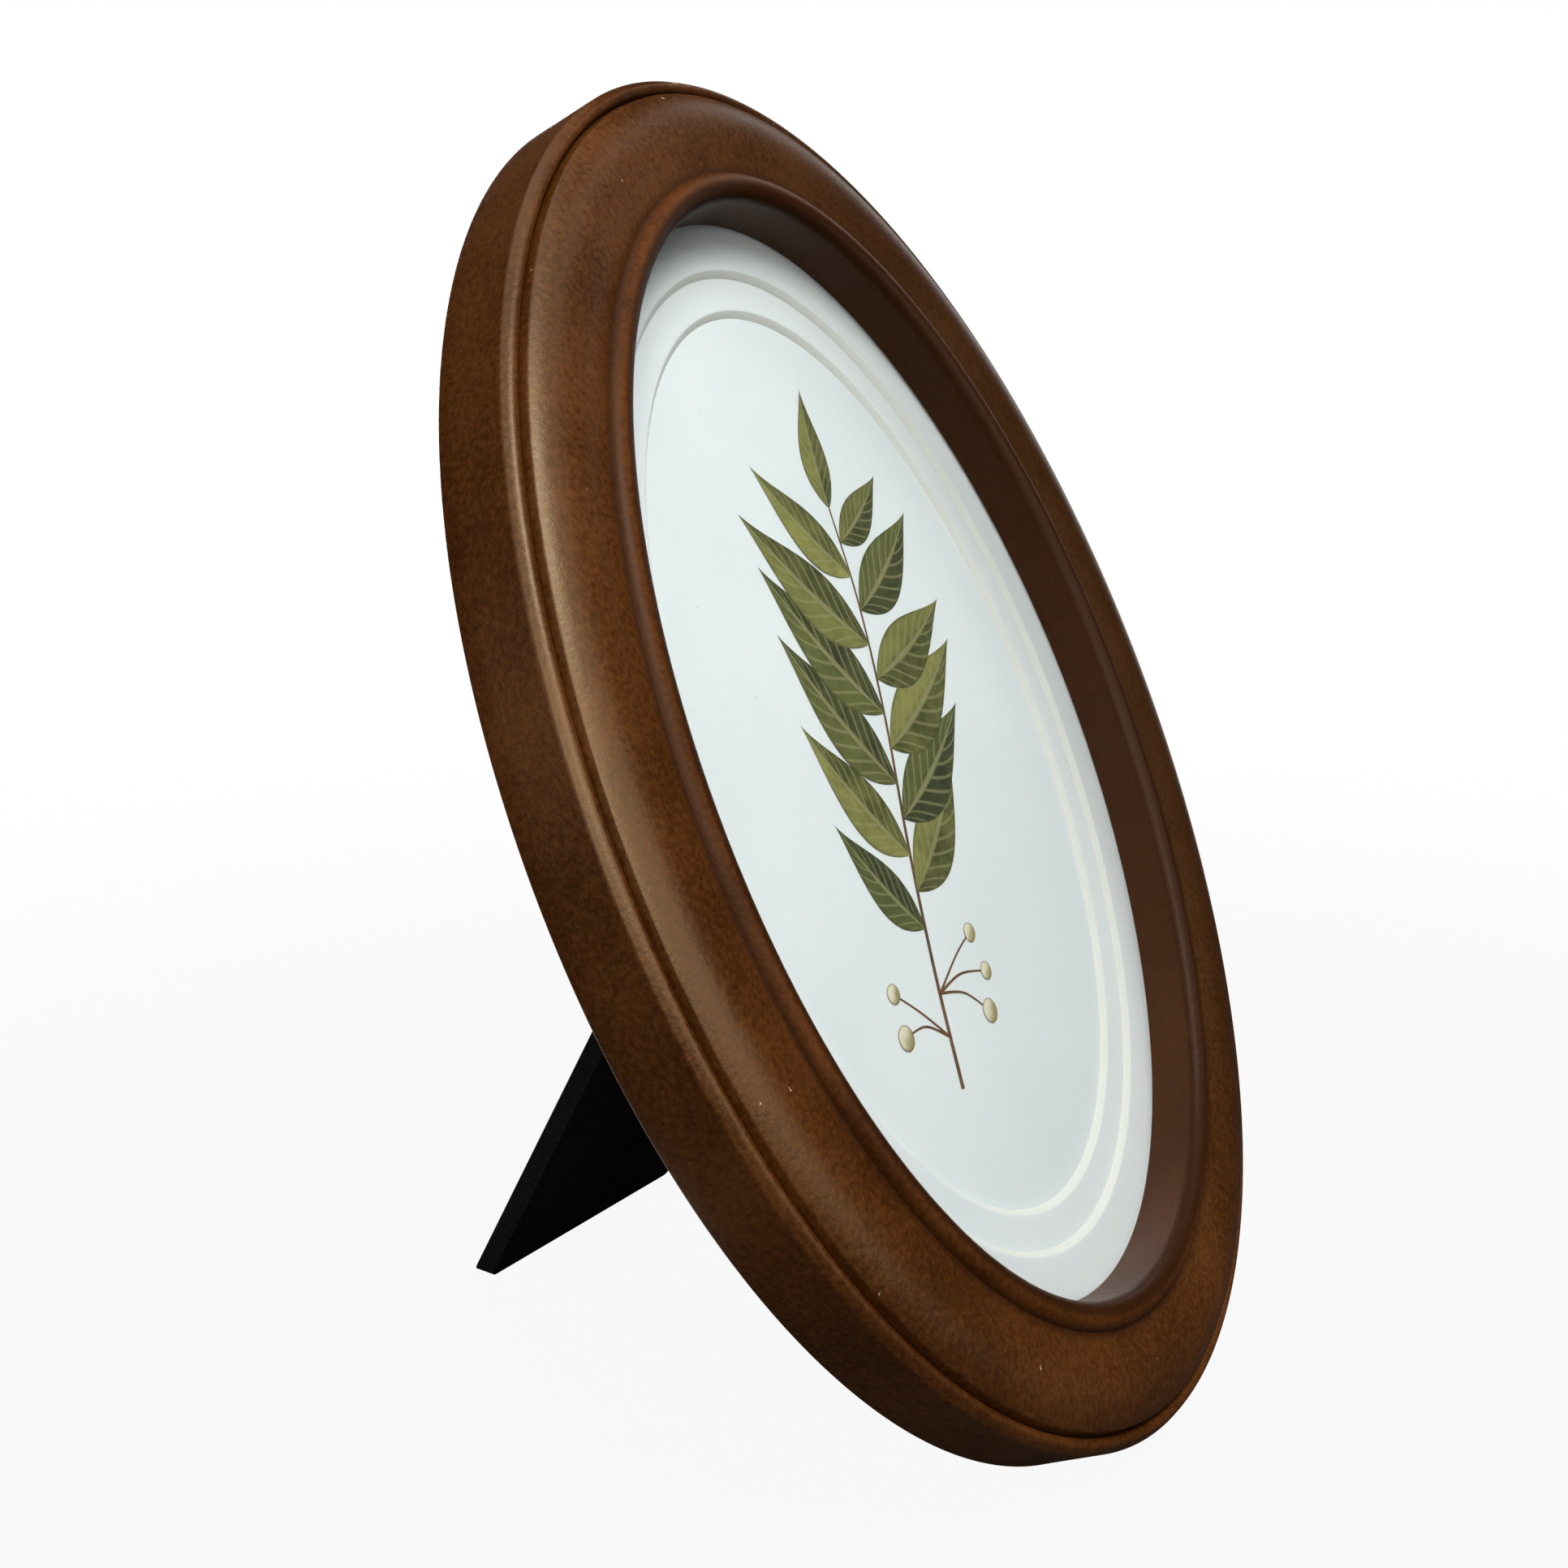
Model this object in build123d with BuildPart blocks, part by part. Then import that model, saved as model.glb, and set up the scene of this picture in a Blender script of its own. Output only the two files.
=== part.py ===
from build123d import *
from math import cos, radians, sin, tan
import os

# An oval table frame that leans back on a folding strut, in millimetres.
# X runs across the picture, the front faces -Y, Z is up, and Z = 0 is the table.
# The origin is the middle of the narrow flat under the moulding, on which the frame rests.

# The oval and how it stands
outer_half_width = 112.5
outer_half_height = 150.0
lean_angle = 25.0
rest_flat_depth = 0.5
overrun = 6.0

# Moulding profile: inwards from the outer edge, forwards from the flat back
lip_side_inset = 1.1
lip_side_height = 15.3
lip_middle = 2.8
lip_height = 16.9
lip_end_inset = 4.1
lip_end_height = 16.2
quirk_middle = 4.5
quirk_floor_height = 14.9
face_start = 5.4
face_foot_height = 16.9
face_foot_angle = 55.0
crown_inset = 10.4
crown_height = 19.8
valley_inset = 23.2
valley_height = 18.5
valley_angle = -11.0
moulding_width = 29.2
bead_side_height = 17.2
rabbet_depth = 7.6
rabbet_lip = 5.0
stack_clearance = 0.8

# The stack in the rabbet, front to back
glass_thickness = 1.8
mat_thickness = 1.3
outer_mat_side_reveal = 8.1
outer_mat_end_reveal = 10.1
inner_mat_side_step = 7.6
inner_mat_end_step = 8.7
print_thickness = 0.3

# Strut
strut_thickness = 5.0
strut_tilt = 26.7
strut_top_half_width = 22.0
strut_foot_half_width = 36.0
strut_top_round = 8.0
strut_foot_round = 2.0
hinge_height = 22.0

# Hinge
leaf_thickness = 0.8
leaf_half_width = 17.0
leaf_length = 24.0
leaf_round = 4.0
pin_radius = 1.2
pin_clearance = 0.06
pin_head_radius = 1.9
pin_head_length = 0.9
middle_knuckle_half_length = 7.0
knuckle_gap = 0.4
stop_clearance = 0.15

# Rivets and turn buttons
rivet_radius = 1.4
rivet_head_radius = 2.8
rivet_head_height = 1.1
rivet_clearance = 0.05
rivet_spread = 10.0
rivet_rise = 16.0
button_width = 9.0
button_reach = 17.0
button_thickness = 1.1
button_rim_distance = 11.7
button_lift = 0.1
button_angles = (50.0, 130.0, 230.0, 310.0)
screw_radius = 1.6
screw_clearance = 0.06
screw_depth = 8.0
screw_head_radius = 3.3
screw_head_height = 1.7
screw_head_taper = 14.0
screw_slot_width = 0.8
screw_slot_depth = 0.7

# Where the leaning back plane lies: its middle, seen from the flat on the table
lean = radians(lean_angle)
back_edge_y = rest_flat_depth * (1 / tan(lean) - tan(lean)) / 2
oval_middle = (
    0,
    back_edge_y + outer_half_height * sin(lean),
    outer_half_height * cos(lean) - rest_flat_depth,
)
back_plane = Plane(origin=oval_middle, x_dir=(1, 0, 0), z_dir=(0, -cos(lean), sin(lean)))

# Heights of the stack's faces in front of the back plane
glass_back = rabbet_depth - glass_thickness
outer_mat_back = glass_back - mat_thickness
inner_mat_back = outer_mat_back - mat_thickness
print_back = inner_mat_back - print_thickness
rabbet_inset = moulding_width - rabbet_lip
button_inset = rabbet_inset - button_rim_distance
stack_half_width = outer_half_width - rabbet_inset - stack_clearance
stack_half_height = outer_half_height - rabbet_inset - stack_clearance
outer_opening_half_width = outer_half_width - moulding_width - outer_mat_side_reveal
outer_opening_half_height = outer_half_height - moulding_width - outer_mat_end_reveal
inner_opening_half_width = outer_opening_half_width - inner_mat_side_step
inner_opening_half_height = outer_opening_half_height - inner_mat_end_step

# Hinge line behind the back board, and the strut's own plane through it
knuckle_radius = (strut_thickness + leaf_thickness) / 2
pin_stand = knuckle_radius + leaf_thickness / 2
pin_middle = back_plane.from_local_coords((0, hinge_height, -pin_stand))
tilt = radians(strut_tilt)
open_angle = lean_angle + strut_tilt
opening = radians(open_angle)
strut_plane = Plane(origin=pin_middle, x_dir=(1, 0, 0), z_dir=(0, -cos(tilt), -sin(tilt)))
strut_length = pin_middle.Z / cos(tilt)
strut_top_drop = knuckle_radius + knuckle_gap
hinge_plane = Plane(origin=pin_middle, x_dir=back_plane.z_dir, z_dir=(1, 0, 0))
back_leaf_plane = back_plane.offset(-leaf_thickness)
strut_leaf_plane = strut_plane.offset(-strut_thickness / 2 - leaf_thickness)

# The tail of the strut's leaf meets the back leaf when the strut is open
stop_gap = pin_stand - leaf_thickness - stop_clearance
stop_length = (stop_gap + strut_thickness / 2 * cos(opening)) / sin(opening)


def button_plane(angle):
    """The plane of one turn button: its X axis points inwards across the back of the moulding."""
    turn = radians(angle)
    edge = Vector(outer_half_width * cos(turn), outer_half_height * sin(turn), 0)
    inwards = Vector(-outer_half_height * cos(turn), -outer_half_width * sin(turn), 0).normalized()
    middle = back_plane.from_local_coords(edge + inwards * button_inset)
    across = back_plane.from_local_coords(edge + inwards * (button_inset + button_reach))
    return Plane(origin=middle, x_dir=across - middle, z_dir=-back_plane.z_dir)


# Moulding: one profile swept round the oval, then screw holes and the flat that it rests on
with BuildPart() as frame_moulding:
    with BuildLine(back_plane) as oval:
        EllipticalCenterArc((0, 0), outer_half_width, outer_half_height, arc_size=360)
    with BuildSketch(Plane(origin=oval.line @ 0, x_dir=(-1, 0, 0), z_dir=oval.line % 0)):
        with BuildLine():
            Line((rabbet_inset, 0), (0, 0))
            Line((0, 0), (lip_side_inset, lip_side_height))
            ThreePointArc(
                (lip_side_inset, lip_side_height),
                (lip_middle, lip_height),
                (lip_end_inset, lip_end_height),
            )
            Line((lip_end_inset, lip_end_height), (quirk_middle, quirk_floor_height))
            Line((quirk_middle, quirk_floor_height), (face_start, face_foot_height))
            Spline(
                (face_start, face_foot_height),
                (crown_inset, crown_height),
                (valley_inset, valley_height),
                tangents=[
                    (cos(radians(face_foot_angle)), sin(radians(face_foot_angle))),
                    (cos(radians(valley_angle)), sin(radians(valley_angle))),
                ],
            )
            TangentArc(
                (moulding_width, bead_side_height),
                (valley_inset, valley_height),
                tangent=(0, 1),
            )
            Line((moulding_width, bead_side_height), (moulding_width, rabbet_depth))
            Line((moulding_width, rabbet_depth), (rabbet_inset, rabbet_depth))
            Line((rabbet_inset, rabbet_depth), (rabbet_inset, 0))
        make_face()
    sweep(path=oval.line)
    for angle in button_angles:
        with BuildSketch(button_plane(angle)):
            Circle(screw_radius)
        extrude(amount=-screw_depth, mode=Mode.SUBTRACT)
    split(bisect_by=Plane.XY, keep=Keep.TOP)
frame_moulding.part.label = "frame_moulding"

# Glass: a plain oval pane against the moulding's lip
with BuildPart() as glass_pane:
    with BuildSketch(back_plane.offset(glass_back)):
        Ellipse(stack_half_width, stack_half_height)
    extrude(amount=glass_thickness)
glass_pane.part.label = "glass_pane"

# Mats: oval boards, each with an oval opening cut at 45 degrees
with BuildPart() as outer_mat:
    with BuildSketch(back_plane.offset(outer_mat_back)):
        Ellipse(stack_half_width, stack_half_height)
    extrude(amount=mat_thickness)
    with BuildSketch(back_plane.offset(outer_mat_back)):
        Ellipse(outer_opening_half_width - mat_thickness, outer_opening_half_height - mat_thickness)
    with BuildSketch(back_plane.offset(glass_back)):
        Ellipse(outer_opening_half_width, outer_opening_half_height)
    loft(mode=Mode.SUBTRACT)
outer_mat.part.label = "outer_mat"

with BuildPart() as inner_mat:
    with BuildSketch(back_plane.offset(inner_mat_back)):
        Ellipse(stack_half_width, stack_half_height)
    extrude(amount=mat_thickness)
    with BuildSketch(back_plane.offset(inner_mat_back)):
        Ellipse(inner_opening_half_width - mat_thickness, inner_opening_half_height - mat_thickness)
    with BuildSketch(back_plane.offset(outer_mat_back)):
        Ellipse(inner_opening_half_width, inner_opening_half_height)
    loft(mode=Mode.SUBTRACT)
inner_mat.part.label = "inner_mat"

# Print: the sheet that shows through the mats
with BuildPart() as art_print:
    with BuildSketch(back_plane.offset(print_back)):
        Ellipse(stack_half_width, stack_half_height)
    extrude(amount=print_thickness)
art_print.part.label = "art_print"

# Back board: closes the rabbet, flush with the moulding's back, drilled for the hinge rivets
with BuildPart() as back_board:
    with BuildSketch(back_plane):
        Ellipse(stack_half_width, stack_half_height)
        with Locations((0, hinge_height + rivet_rise)):
            with GridLocations(2 * rivet_spread, 0, 2, 1):
                Circle(rivet_radius + rivet_clearance, mode=Mode.SUBTRACT)
    extrude(amount=print_back)
back_board.part.label = "back_board"

# Strut: a tapered board, cut level with the table at its foot
with BuildPart() as easel_strut:
    with BuildSketch(strut_plane.offset(-strut_thickness / 2)) as strut_outline:
        with BuildLine():
            Polyline(
                (-strut_top_half_width, -strut_top_drop),
                (strut_top_half_width, -strut_top_drop),
                (strut_foot_half_width, -strut_length - overrun),
                (-strut_foot_half_width, -strut_length - overrun),
                close=True,
            )
        make_face()
        fillet(strut_outline.vertices().group_by(Axis.Y)[-1], strut_top_round)
        with Locations((0, -rivet_rise)):
            with GridLocations(2 * rivet_spread, 0, 2, 1):
                Circle(rivet_radius + rivet_clearance, mode=Mode.SUBTRACT)
    extrude(amount=strut_thickness)
    split(bisect_by=Plane.XY, keep=Keep.TOP)
    foot = easel_strut.faces().sort_by(Axis.Z)[0]
    fillet(foot.edges().filter_by(Axis.X, reverse=True), strut_foot_round)
easel_strut.part.label = "easel_strut"

# Hinge leaf on the back board: a plate with two outer knuckles and a notch for the middle one
with BuildPart() as hinge_back_leaf:
    with BuildSketch(back_leaf_plane) as back_leaf_outline:
        with Locations((0, hinge_height + leaf_length / 2)):
            Rectangle(2 * leaf_half_width, leaf_length)
        fillet(back_leaf_outline.vertices().group_by(Axis.Y)[-1], leaf_round)
    extrude(amount=leaf_thickness)
    with BuildSketch(hinge_plane.offset(-leaf_half_width)):
        Circle(knuckle_radius)
    extrude(amount=2 * leaf_half_width)
    with BuildSketch(hinge_plane.offset(-middle_knuckle_half_length - knuckle_gap)):
        Circle(knuckle_radius + knuckle_gap)
    extrude(amount=2 * (middle_knuckle_half_length + knuckle_gap), mode=Mode.SUBTRACT)
    with BuildSketch(hinge_plane.offset(-leaf_half_width)):
        Circle(pin_radius)
    extrude(amount=2 * leaf_half_width, mode=Mode.SUBTRACT)
    with BuildSketch(back_leaf_plane):
        with Locations((0, hinge_height + rivet_rise)):
            with GridLocations(2 * rivet_spread, 0, 2, 1):
                Circle(rivet_radius + rivet_clearance)
    extrude(amount=leaf_thickness, mode=Mode.SUBTRACT)
hinge_back_leaf.part.label = "hinge_back_leaf"

# Hinge leaf on the strut: a plate with the middle knuckle and the tail that stops it
with BuildPart() as hinge_strut_leaf:
    with BuildSketch(strut_leaf_plane) as strut_leaf_outline:
        with Locations((0, -strut_top_drop - leaf_length / 2)):
            Rectangle(2 * leaf_half_width, leaf_length)
        fillet(strut_leaf_outline.vertices().group_by(Axis.Y)[0], leaf_round)
        with Locations((0, (stop_length - strut_top_drop) / 2)):
            Rectangle(2 * middle_knuckle_half_length, stop_length + strut_top_drop)
    extrude(amount=leaf_thickness)
    with BuildSketch(hinge_plane.offset(-middle_knuckle_half_length)):
        Circle(knuckle_radius)
    extrude(amount=2 * middle_knuckle_half_length)
    with BuildSketch(hinge_plane.offset(-middle_knuckle_half_length)):
        Circle(pin_radius + pin_clearance)
    extrude(amount=2 * middle_knuckle_half_length, mode=Mode.SUBTRACT)
    with BuildSketch(strut_leaf_plane):
        with Locations((0, -rivet_rise)):
            with GridLocations(2 * rivet_spread, 0, 2, 1):
                Circle(rivet_radius + rivet_clearance)
    extrude(amount=leaf_thickness, mode=Mode.SUBTRACT)
hinge_strut_leaf.part.label = "hinge_strut_leaf"

# Hinge pin: fast in the outer knuckles, headed at both ends
with BuildPart() as hinge_pin:
    with BuildSketch(hinge_plane.offset(-leaf_half_width)):
        Circle(pin_radius)
    extrude(amount=2 * leaf_half_width)
    with BuildSketch(hinge_plane.offset(leaf_half_width)):
        Circle(pin_head_radius)
    extrude(amount=pin_head_length)
    with BuildSketch(hinge_plane.offset(-leaf_half_width)):
        Circle(pin_head_radius)
    extrude(amount=-pin_head_length)
hinge_pin.part.label = "hinge_pin"


def rivet_pair(head_plane, shank_length, rise):
    """Two rivets with domed heads on head_plane, whose shanks run back through leaf and board."""
    with BuildPart() as pair:
        with BuildSketch(head_plane):
            with Locations((0, rise)):
                with GridLocations(2 * rivet_spread, 0, 2, 1):
                    Circle(rivet_radius)
        extrude(amount=shank_length)
        with BuildSketch(head_plane):
            with Locations((0, rise)):
                with GridLocations(2 * rivet_spread, 0, 2, 1):
                    Circle(rivet_head_radius)
        extrude(amount=-rivet_head_height)
        rims = pair.edges().filter_by(GeomType.CIRCLE).group_by(SortBy.RADIUS)[-1]
        fillet(rims.sort_by(Axis(head_plane.origin, head_plane.z_dir))[:2], rivet_head_height / 2)
    return pair


back_leaf_rivets = rivet_pair(back_leaf_plane, leaf_thickness + print_back, hinge_height + rivet_rise)
back_leaf_rivets.part.label = "back_leaf_rivets"

strut_leaf_rivets = rivet_pair(strut_leaf_plane, leaf_thickness + strut_thickness, -rivet_rise)
strut_leaf_rivets.part.label = "strut_leaf_rivets"

# Turn buttons: flat swivel clips, round at both ends, that reach from their screws over the board
turn_buttons = []
for number, angle in enumerate(button_angles, start=1):
    with BuildPart() as turn_button:
        with BuildSketch(button_plane(angle).offset(button_lift)):
            with Locations((button_reach / 2, 0)):
                SlotCenterToCenter(button_reach, button_width)
            Circle(screw_radius + screw_clearance, mode=Mode.SUBTRACT)
        extrude(amount=button_thickness)
    turn_button.part.label = f"turn_button_{number}"
    turn_buttons.append(turn_button.part)

# Their screws: shank, tapered head and a slot, fast in the moulding
with BuildPart() as turn_button_screws:
    for angle in button_angles:
        head_seat = button_plane(angle).offset(button_thickness + 2 * button_lift)
        with BuildSketch(head_seat):
            Circle(screw_radius)
        extrude(amount=-screw_depth - button_thickness - 2 * button_lift)
        with BuildSketch(head_seat):
            Circle(screw_head_radius)
        extrude(amount=screw_head_height, taper=screw_head_taper)
        with BuildSketch(head_seat.offset(screw_head_height)):
            Rectangle(2 * screw_head_radius, screw_slot_width)
        extrude(amount=-screw_slot_depth, mode=Mode.SUBTRACT)
turn_button_screws.part.label = "turn_button_screws"

os.makedirs("parts", exist_ok=True)
pieces = [
    frame_moulding.part,
    glass_pane.part,
    outer_mat.part,
    inner_mat.part,
    art_print.part,
    back_board.part,
    easel_strut.part,
    hinge_back_leaf.part,
    hinge_strut_leaf.part,
    hinge_pin.part,
    back_leaf_rivets.part,
    strut_leaf_rivets.part,
    *turn_buttons,
    turn_button_screws.part,
]
for piece in pieces:
    export_step(piece, f"parts/{piece.label}.step")
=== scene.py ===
import math

import bpy
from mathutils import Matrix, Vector


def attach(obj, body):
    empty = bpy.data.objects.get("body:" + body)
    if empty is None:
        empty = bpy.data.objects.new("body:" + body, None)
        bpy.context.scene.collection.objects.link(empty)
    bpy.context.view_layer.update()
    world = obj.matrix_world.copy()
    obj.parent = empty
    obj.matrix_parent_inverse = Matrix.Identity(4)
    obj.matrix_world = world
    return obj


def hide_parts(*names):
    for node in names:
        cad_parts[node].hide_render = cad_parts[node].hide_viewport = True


# %% [markdown]
# # An oval picture frame on an easel strut
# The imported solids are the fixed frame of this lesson. Their sizes are right, so every new mesh
# is made from the same numbers and put where its solid is. Blender's work here is the look:
# a smooth lacquered moulding, soft white boards, a printed sheet behind glass and black board.

# %% Load the solids
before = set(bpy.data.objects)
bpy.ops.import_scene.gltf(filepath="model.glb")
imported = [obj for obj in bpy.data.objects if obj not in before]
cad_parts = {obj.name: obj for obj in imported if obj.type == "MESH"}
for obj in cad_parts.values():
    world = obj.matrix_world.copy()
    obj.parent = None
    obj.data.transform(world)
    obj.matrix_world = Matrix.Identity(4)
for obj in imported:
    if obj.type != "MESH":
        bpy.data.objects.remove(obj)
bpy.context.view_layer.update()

# %% [markdown]
# ## The leaning picture plane
# The real frame leans back on its strut, so nothing on it is square to the table. Each piece could
# be modelled lying down and turned afterwards, or be modelled leaning from the start. The first way
# keeps the numbers readable: x runs across the picture, y up the picture and z out of it, and one
# turn about X with one move carries any mesh to its leaning place.

# %% Where the picture plane stands
MM = 0.001
HALF_WIDTH, HALF_HEIGHT = 112.5 * MM, 150.0 * MM
LEAN = math.radians(25.0)
REST_FLAT = 0.5 * MM
back_edge = REST_FLAT * (1 / math.tan(LEAN) - math.tan(LEAN)) / 2
OVAL_MIDDLE = Vector((
    0.0,
    back_edge + HALF_HEIGHT * math.sin(LEAN),
    HALF_HEIGHT * math.cos(LEAN) - REST_FLAT,
))
PLACED = {"Plane Turn": math.pi / 2 - LEAN, "Middle": OVAL_MIDDLE}
print("oval middle, mm:", [round(v / MM, 2) for v in OVAL_MIDDLE])

# %% [markdown]
# ## Small helpers for node trees
# Geometry and shader trees are built in the same way: add a node, set some sockets, link others.
# One helper does all three, so that a tree below reads from top to bottom as a list of its nodes.
# The other helpers are that one with the options of a common node filled in.


# %% Add a node and fill its sockets
def put(tree, kind, sockets=None, **options):
    """A new node: sockets hold values or other nodes' outputs, options are the node's own."""
    made = tree.nodes.new(kind)
    for option, value in options.items():
        setattr(made, option, value)
    for socket, value in (sockets or {}).items():
        if isinstance(value, bpy.types.NodeSocket):
            tree.links.new(value, made.inputs[socket])
        else:
            made.inputs[socket].default_value = value
    return made


def out(tree, kind, sockets=None, **options):
    """A new node's first output."""
    return put(tree, kind, sockets, **options).outputs[0]


def math_node(tree, operation, *values):
    """One Math node's output."""
    return out(tree, "ShaderNodeMath", dict(enumerate(values)), operation=operation)


def spread(tree, value, low, high, to_low=0.0, to_high=1.0):
    """A smooth Map Range from low..high to to_low..to_high, held at both ends."""
    return out(tree, "ShaderNodeMapRange", {0: value, 1: low, 2: high, 3: to_low, 4: to_high},
               interpolation_type="SMOOTHSTEP")


def combine(tree, x=0.0, y=0.0, z=0.0):
    """A vector from numbers or sockets."""
    return out(tree, "ShaderNodeCombineXYZ", {0: x, 1: y, 2: z})


def split(tree, vector):
    """The x, y and z of a vector."""
    return put(tree, "ShaderNodeSeparateXYZ", {0: vector}).outputs


def rgba(colour):
    """Three numbers with full alpha, or a socket as it is."""
    return colour if isinstance(colour, bpy.types.NodeSocket) else (*colour, 1.0)


def blend_colour(tree, factor, first, second):
    """One colour Mix node's output."""
    made = put(tree, "ShaderNodeMix", {0: factor, 6: rgba(first), 7: rgba(second)}, data_type="RGBA")
    return made.outputs[2]


def noise(tree, vector, scale, detail, roughness=0.5):
    """A noise texture's value."""
    return out(tree, "ShaderNodeTexNoise",
               {"Vector": vector, "Scale": scale, "Detail": detail, "Roughness": roughness})


print("a grey with alpha:", rgba((0.5, 0.5, 0.5)))

# %% [markdown]
# ## Node groups with named sockets
# Both kinds of tree are groups, and a group says what it takes and gives by its named sockets. The
# shader groups all read a place and some numbers. The trees that grow a piece take a seed mesh, and
# end with the same inputs: where the piece leans, and what it is made of.

# %% Empty groups of each kind
GEOMETRY, MATERIAL = "NodeSocketGeometry", "NodeSocketMaterial"
NUMBER, COUNT, VECTOR = "NodeSocketFloat", "NodeSocketInt", "NodeSocketVector"


def group_tree(name, kind, inputs, outputs):
    """An empty node group with named sockets, what it is given and where its results go."""
    tree = bpy.data.node_groups.new(name, kind)
    for label, socket, value in inputs:
        made = tree.interface.new_socket(label, in_out="INPUT", socket_type=socket)
        if value is not None:
            made.default_value = value
    for label, socket in outputs:
        tree.interface.new_socket(label, in_out="OUTPUT", socket_type=socket)
    given = tree.nodes.new("NodeGroupInput").outputs
    result = tree.nodes.new("NodeGroupOutput").inputs
    return tree, given, result


def effect_group(name, numbers, outputs):
    """A shader group that takes a place and numbers, and puts out numbers."""
    inputs = [("Vector", VECTOR, None)] + [(label, NUMBER, value) for label, value in numbers.items()]
    return group_tree(name, "ShaderNodeTree", inputs, [(label, NUMBER) for label in outputs])


def growing_tree(name, own_inputs):
    """A geometry tree that takes a seed mesh, its own inputs, a leaning place and a material."""
    placing = [("Plane Turn", NUMBER, 0.0), ("Middle", VECTOR, None), ("Material", MATERIAL, None)]
    inputs = [("Geometry", GEOMETRY, None)] + own_inputs + placing
    return group_tree(name, "GeometryNodeTree", inputs, [("Geometry", GEOMETRY)])


print("socket kinds:", GEOMETRY, MATERIAL, NUMBER, COUNT, VECTOR)

# %% [markdown]
# ## Turning a tree into a plain mesh
# A Geometry Nodes tree is a rule, and the hand-over needs plain meshes. So each piece starts as a
# small seed mesh that holds its section or path, the tree grows it, leans it back and gives it its
# material, and the grown mesh is copied into a new object at the origin with no modifier left.

# %% The ending of every tree
SHARP_ANGLE = math.radians(38)


def lean_back(tree, geometry, given):
    """Carries geometry from the lying picture plane to its leaning place."""
    return out(tree, "GeometryNodeTransform",
               {"Geometry": geometry, "Translation": given["Middle"],
                "Rotation": combine(tree, given["Plane Turn"])})


def store(tree, geometry, label, value, domain="POINT"):
    """Keeps a number on the geometry as a named attribute."""
    return out(tree, "GeometryNodeStoreNamedAttribute",
               {"Geometry": geometry, "Name": label, "Value": value}, data_type="FLOAT", domain=domain)


def finish_tree(tree, geometry, given, result, inner=None):
    """Smooth faces with sharp edges kept, real geometry and a material, or two where inner is given."""
    bend = out(tree, "GeometryNodeInputMeshEdgeAngle")
    gentle = math_node(tree, "LESS_THAN", bend, SHARP_ANGLE)
    faces = out(tree, "GeometryNodeSetShadeSmooth", {"Geometry": geometry}, domain="FACE")
    edges = out(tree, "GeometryNodeSetShadeSmooth", {"Geometry": faces, "Shade Smooth": gentle},
                domain="EDGE")
    real = out(tree, "GeometryNodeRealizeInstances", {"Geometry": edges})
    dressed = out(tree, "GeometryNodeSetMaterial", {"Geometry": real, "Material": given["Material"]})
    if inner:
        dressed = out(tree, "GeometryNodeSetMaterial",
                      {"Geometry": dressed, "Selection": inner, "Material": given["Inner Material"]})
    tree.links.new(dressed, result["Geometry"])


print("edges stay sharp from, degrees:", round(math.degrees(SHARP_ANGLE)))


# %% Seed mesh, tree, plain mesh
def seed_mesh(name, points, edges, values=None):
    """A mesh of points and edges, with one float attribute for each entry of values."""
    mesh = bpy.data.meshes.new(name)
    mesh.from_pydata([Vector(p) for p in points], edges, [])
    for label, numbers in (values or {}).items():
        mesh.attributes.new(label, "FLOAT", "POINT").data.foreach_set("value", numbers)
    return mesh


def grow(name, mesh, tree, inputs):
    """Runs the tree on the seed mesh and returns the result as an object with a plain mesh."""
    seed = bpy.data.objects.new(name + "_seed", mesh)
    bpy.context.scene.collection.objects.link(seed)
    modifier = seed.modifiers.new("grow", "NODES")
    modifier.node_group = tree
    sockets = [item for item in tree.interface.items_tree if item.in_out == "INPUT"]
    names = {socket.name: socket.identifier for socket in sockets}
    for label, value in {**inputs, **PLACED}.items():
        modifier[names[label]] = value
    bpy.context.view_layer.update()
    grown = seed.evaluated_get(bpy.context.evaluated_depsgraph_get())
    plain = bpy.data.meshes.new_from_object(grown)
    plain.name = name
    piece = bpy.data.objects.new(name, plain)
    bpy.context.scene.collection.objects.link(piece)
    bpy.data.objects.remove(seed)
    print(name, "faces:", len(plain.polygons), "materials:", [m.name for m in plain.materials if m])
    return piece


# %% [markdown]
# ## Shared surface effects
# Lacquer, board, paper and metal all vary a little from place to place. Three shader groups are built
# once and placed in each material with its own numbers: a mottle, which is a broad cloud and a fine
# speckle, a rub mask, which finds where an edge has been handled and chipped, and a few flecks.


# %% Mottle group
def make_mottle():
    tree, given, result = effect_group(
        "surface mottle", {"Broad Scale": 40.0, "Fine Scale": 700.0, "Fine Share": 0.5},
        ["Shade", "Height"])
    broad = noise(tree, given["Vector"], given["Broad Scale"], detail=3.0)
    fine = noise(tree, given["Vector"], given["Fine Scale"], detail=4.0, roughness=0.6)
    mixed = out(tree, "ShaderNodeMix", {0: given["Fine Share"], 2: broad, 3: fine}, data_type="FLOAT")
    tree.links.new(spread(tree, mixed, 0.3, 0.7), result["Shade"])
    tree.links.new(fine, result["Height"])
    return tree


mottle_group = make_mottle()
print("group:", mottle_group.name)


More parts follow.
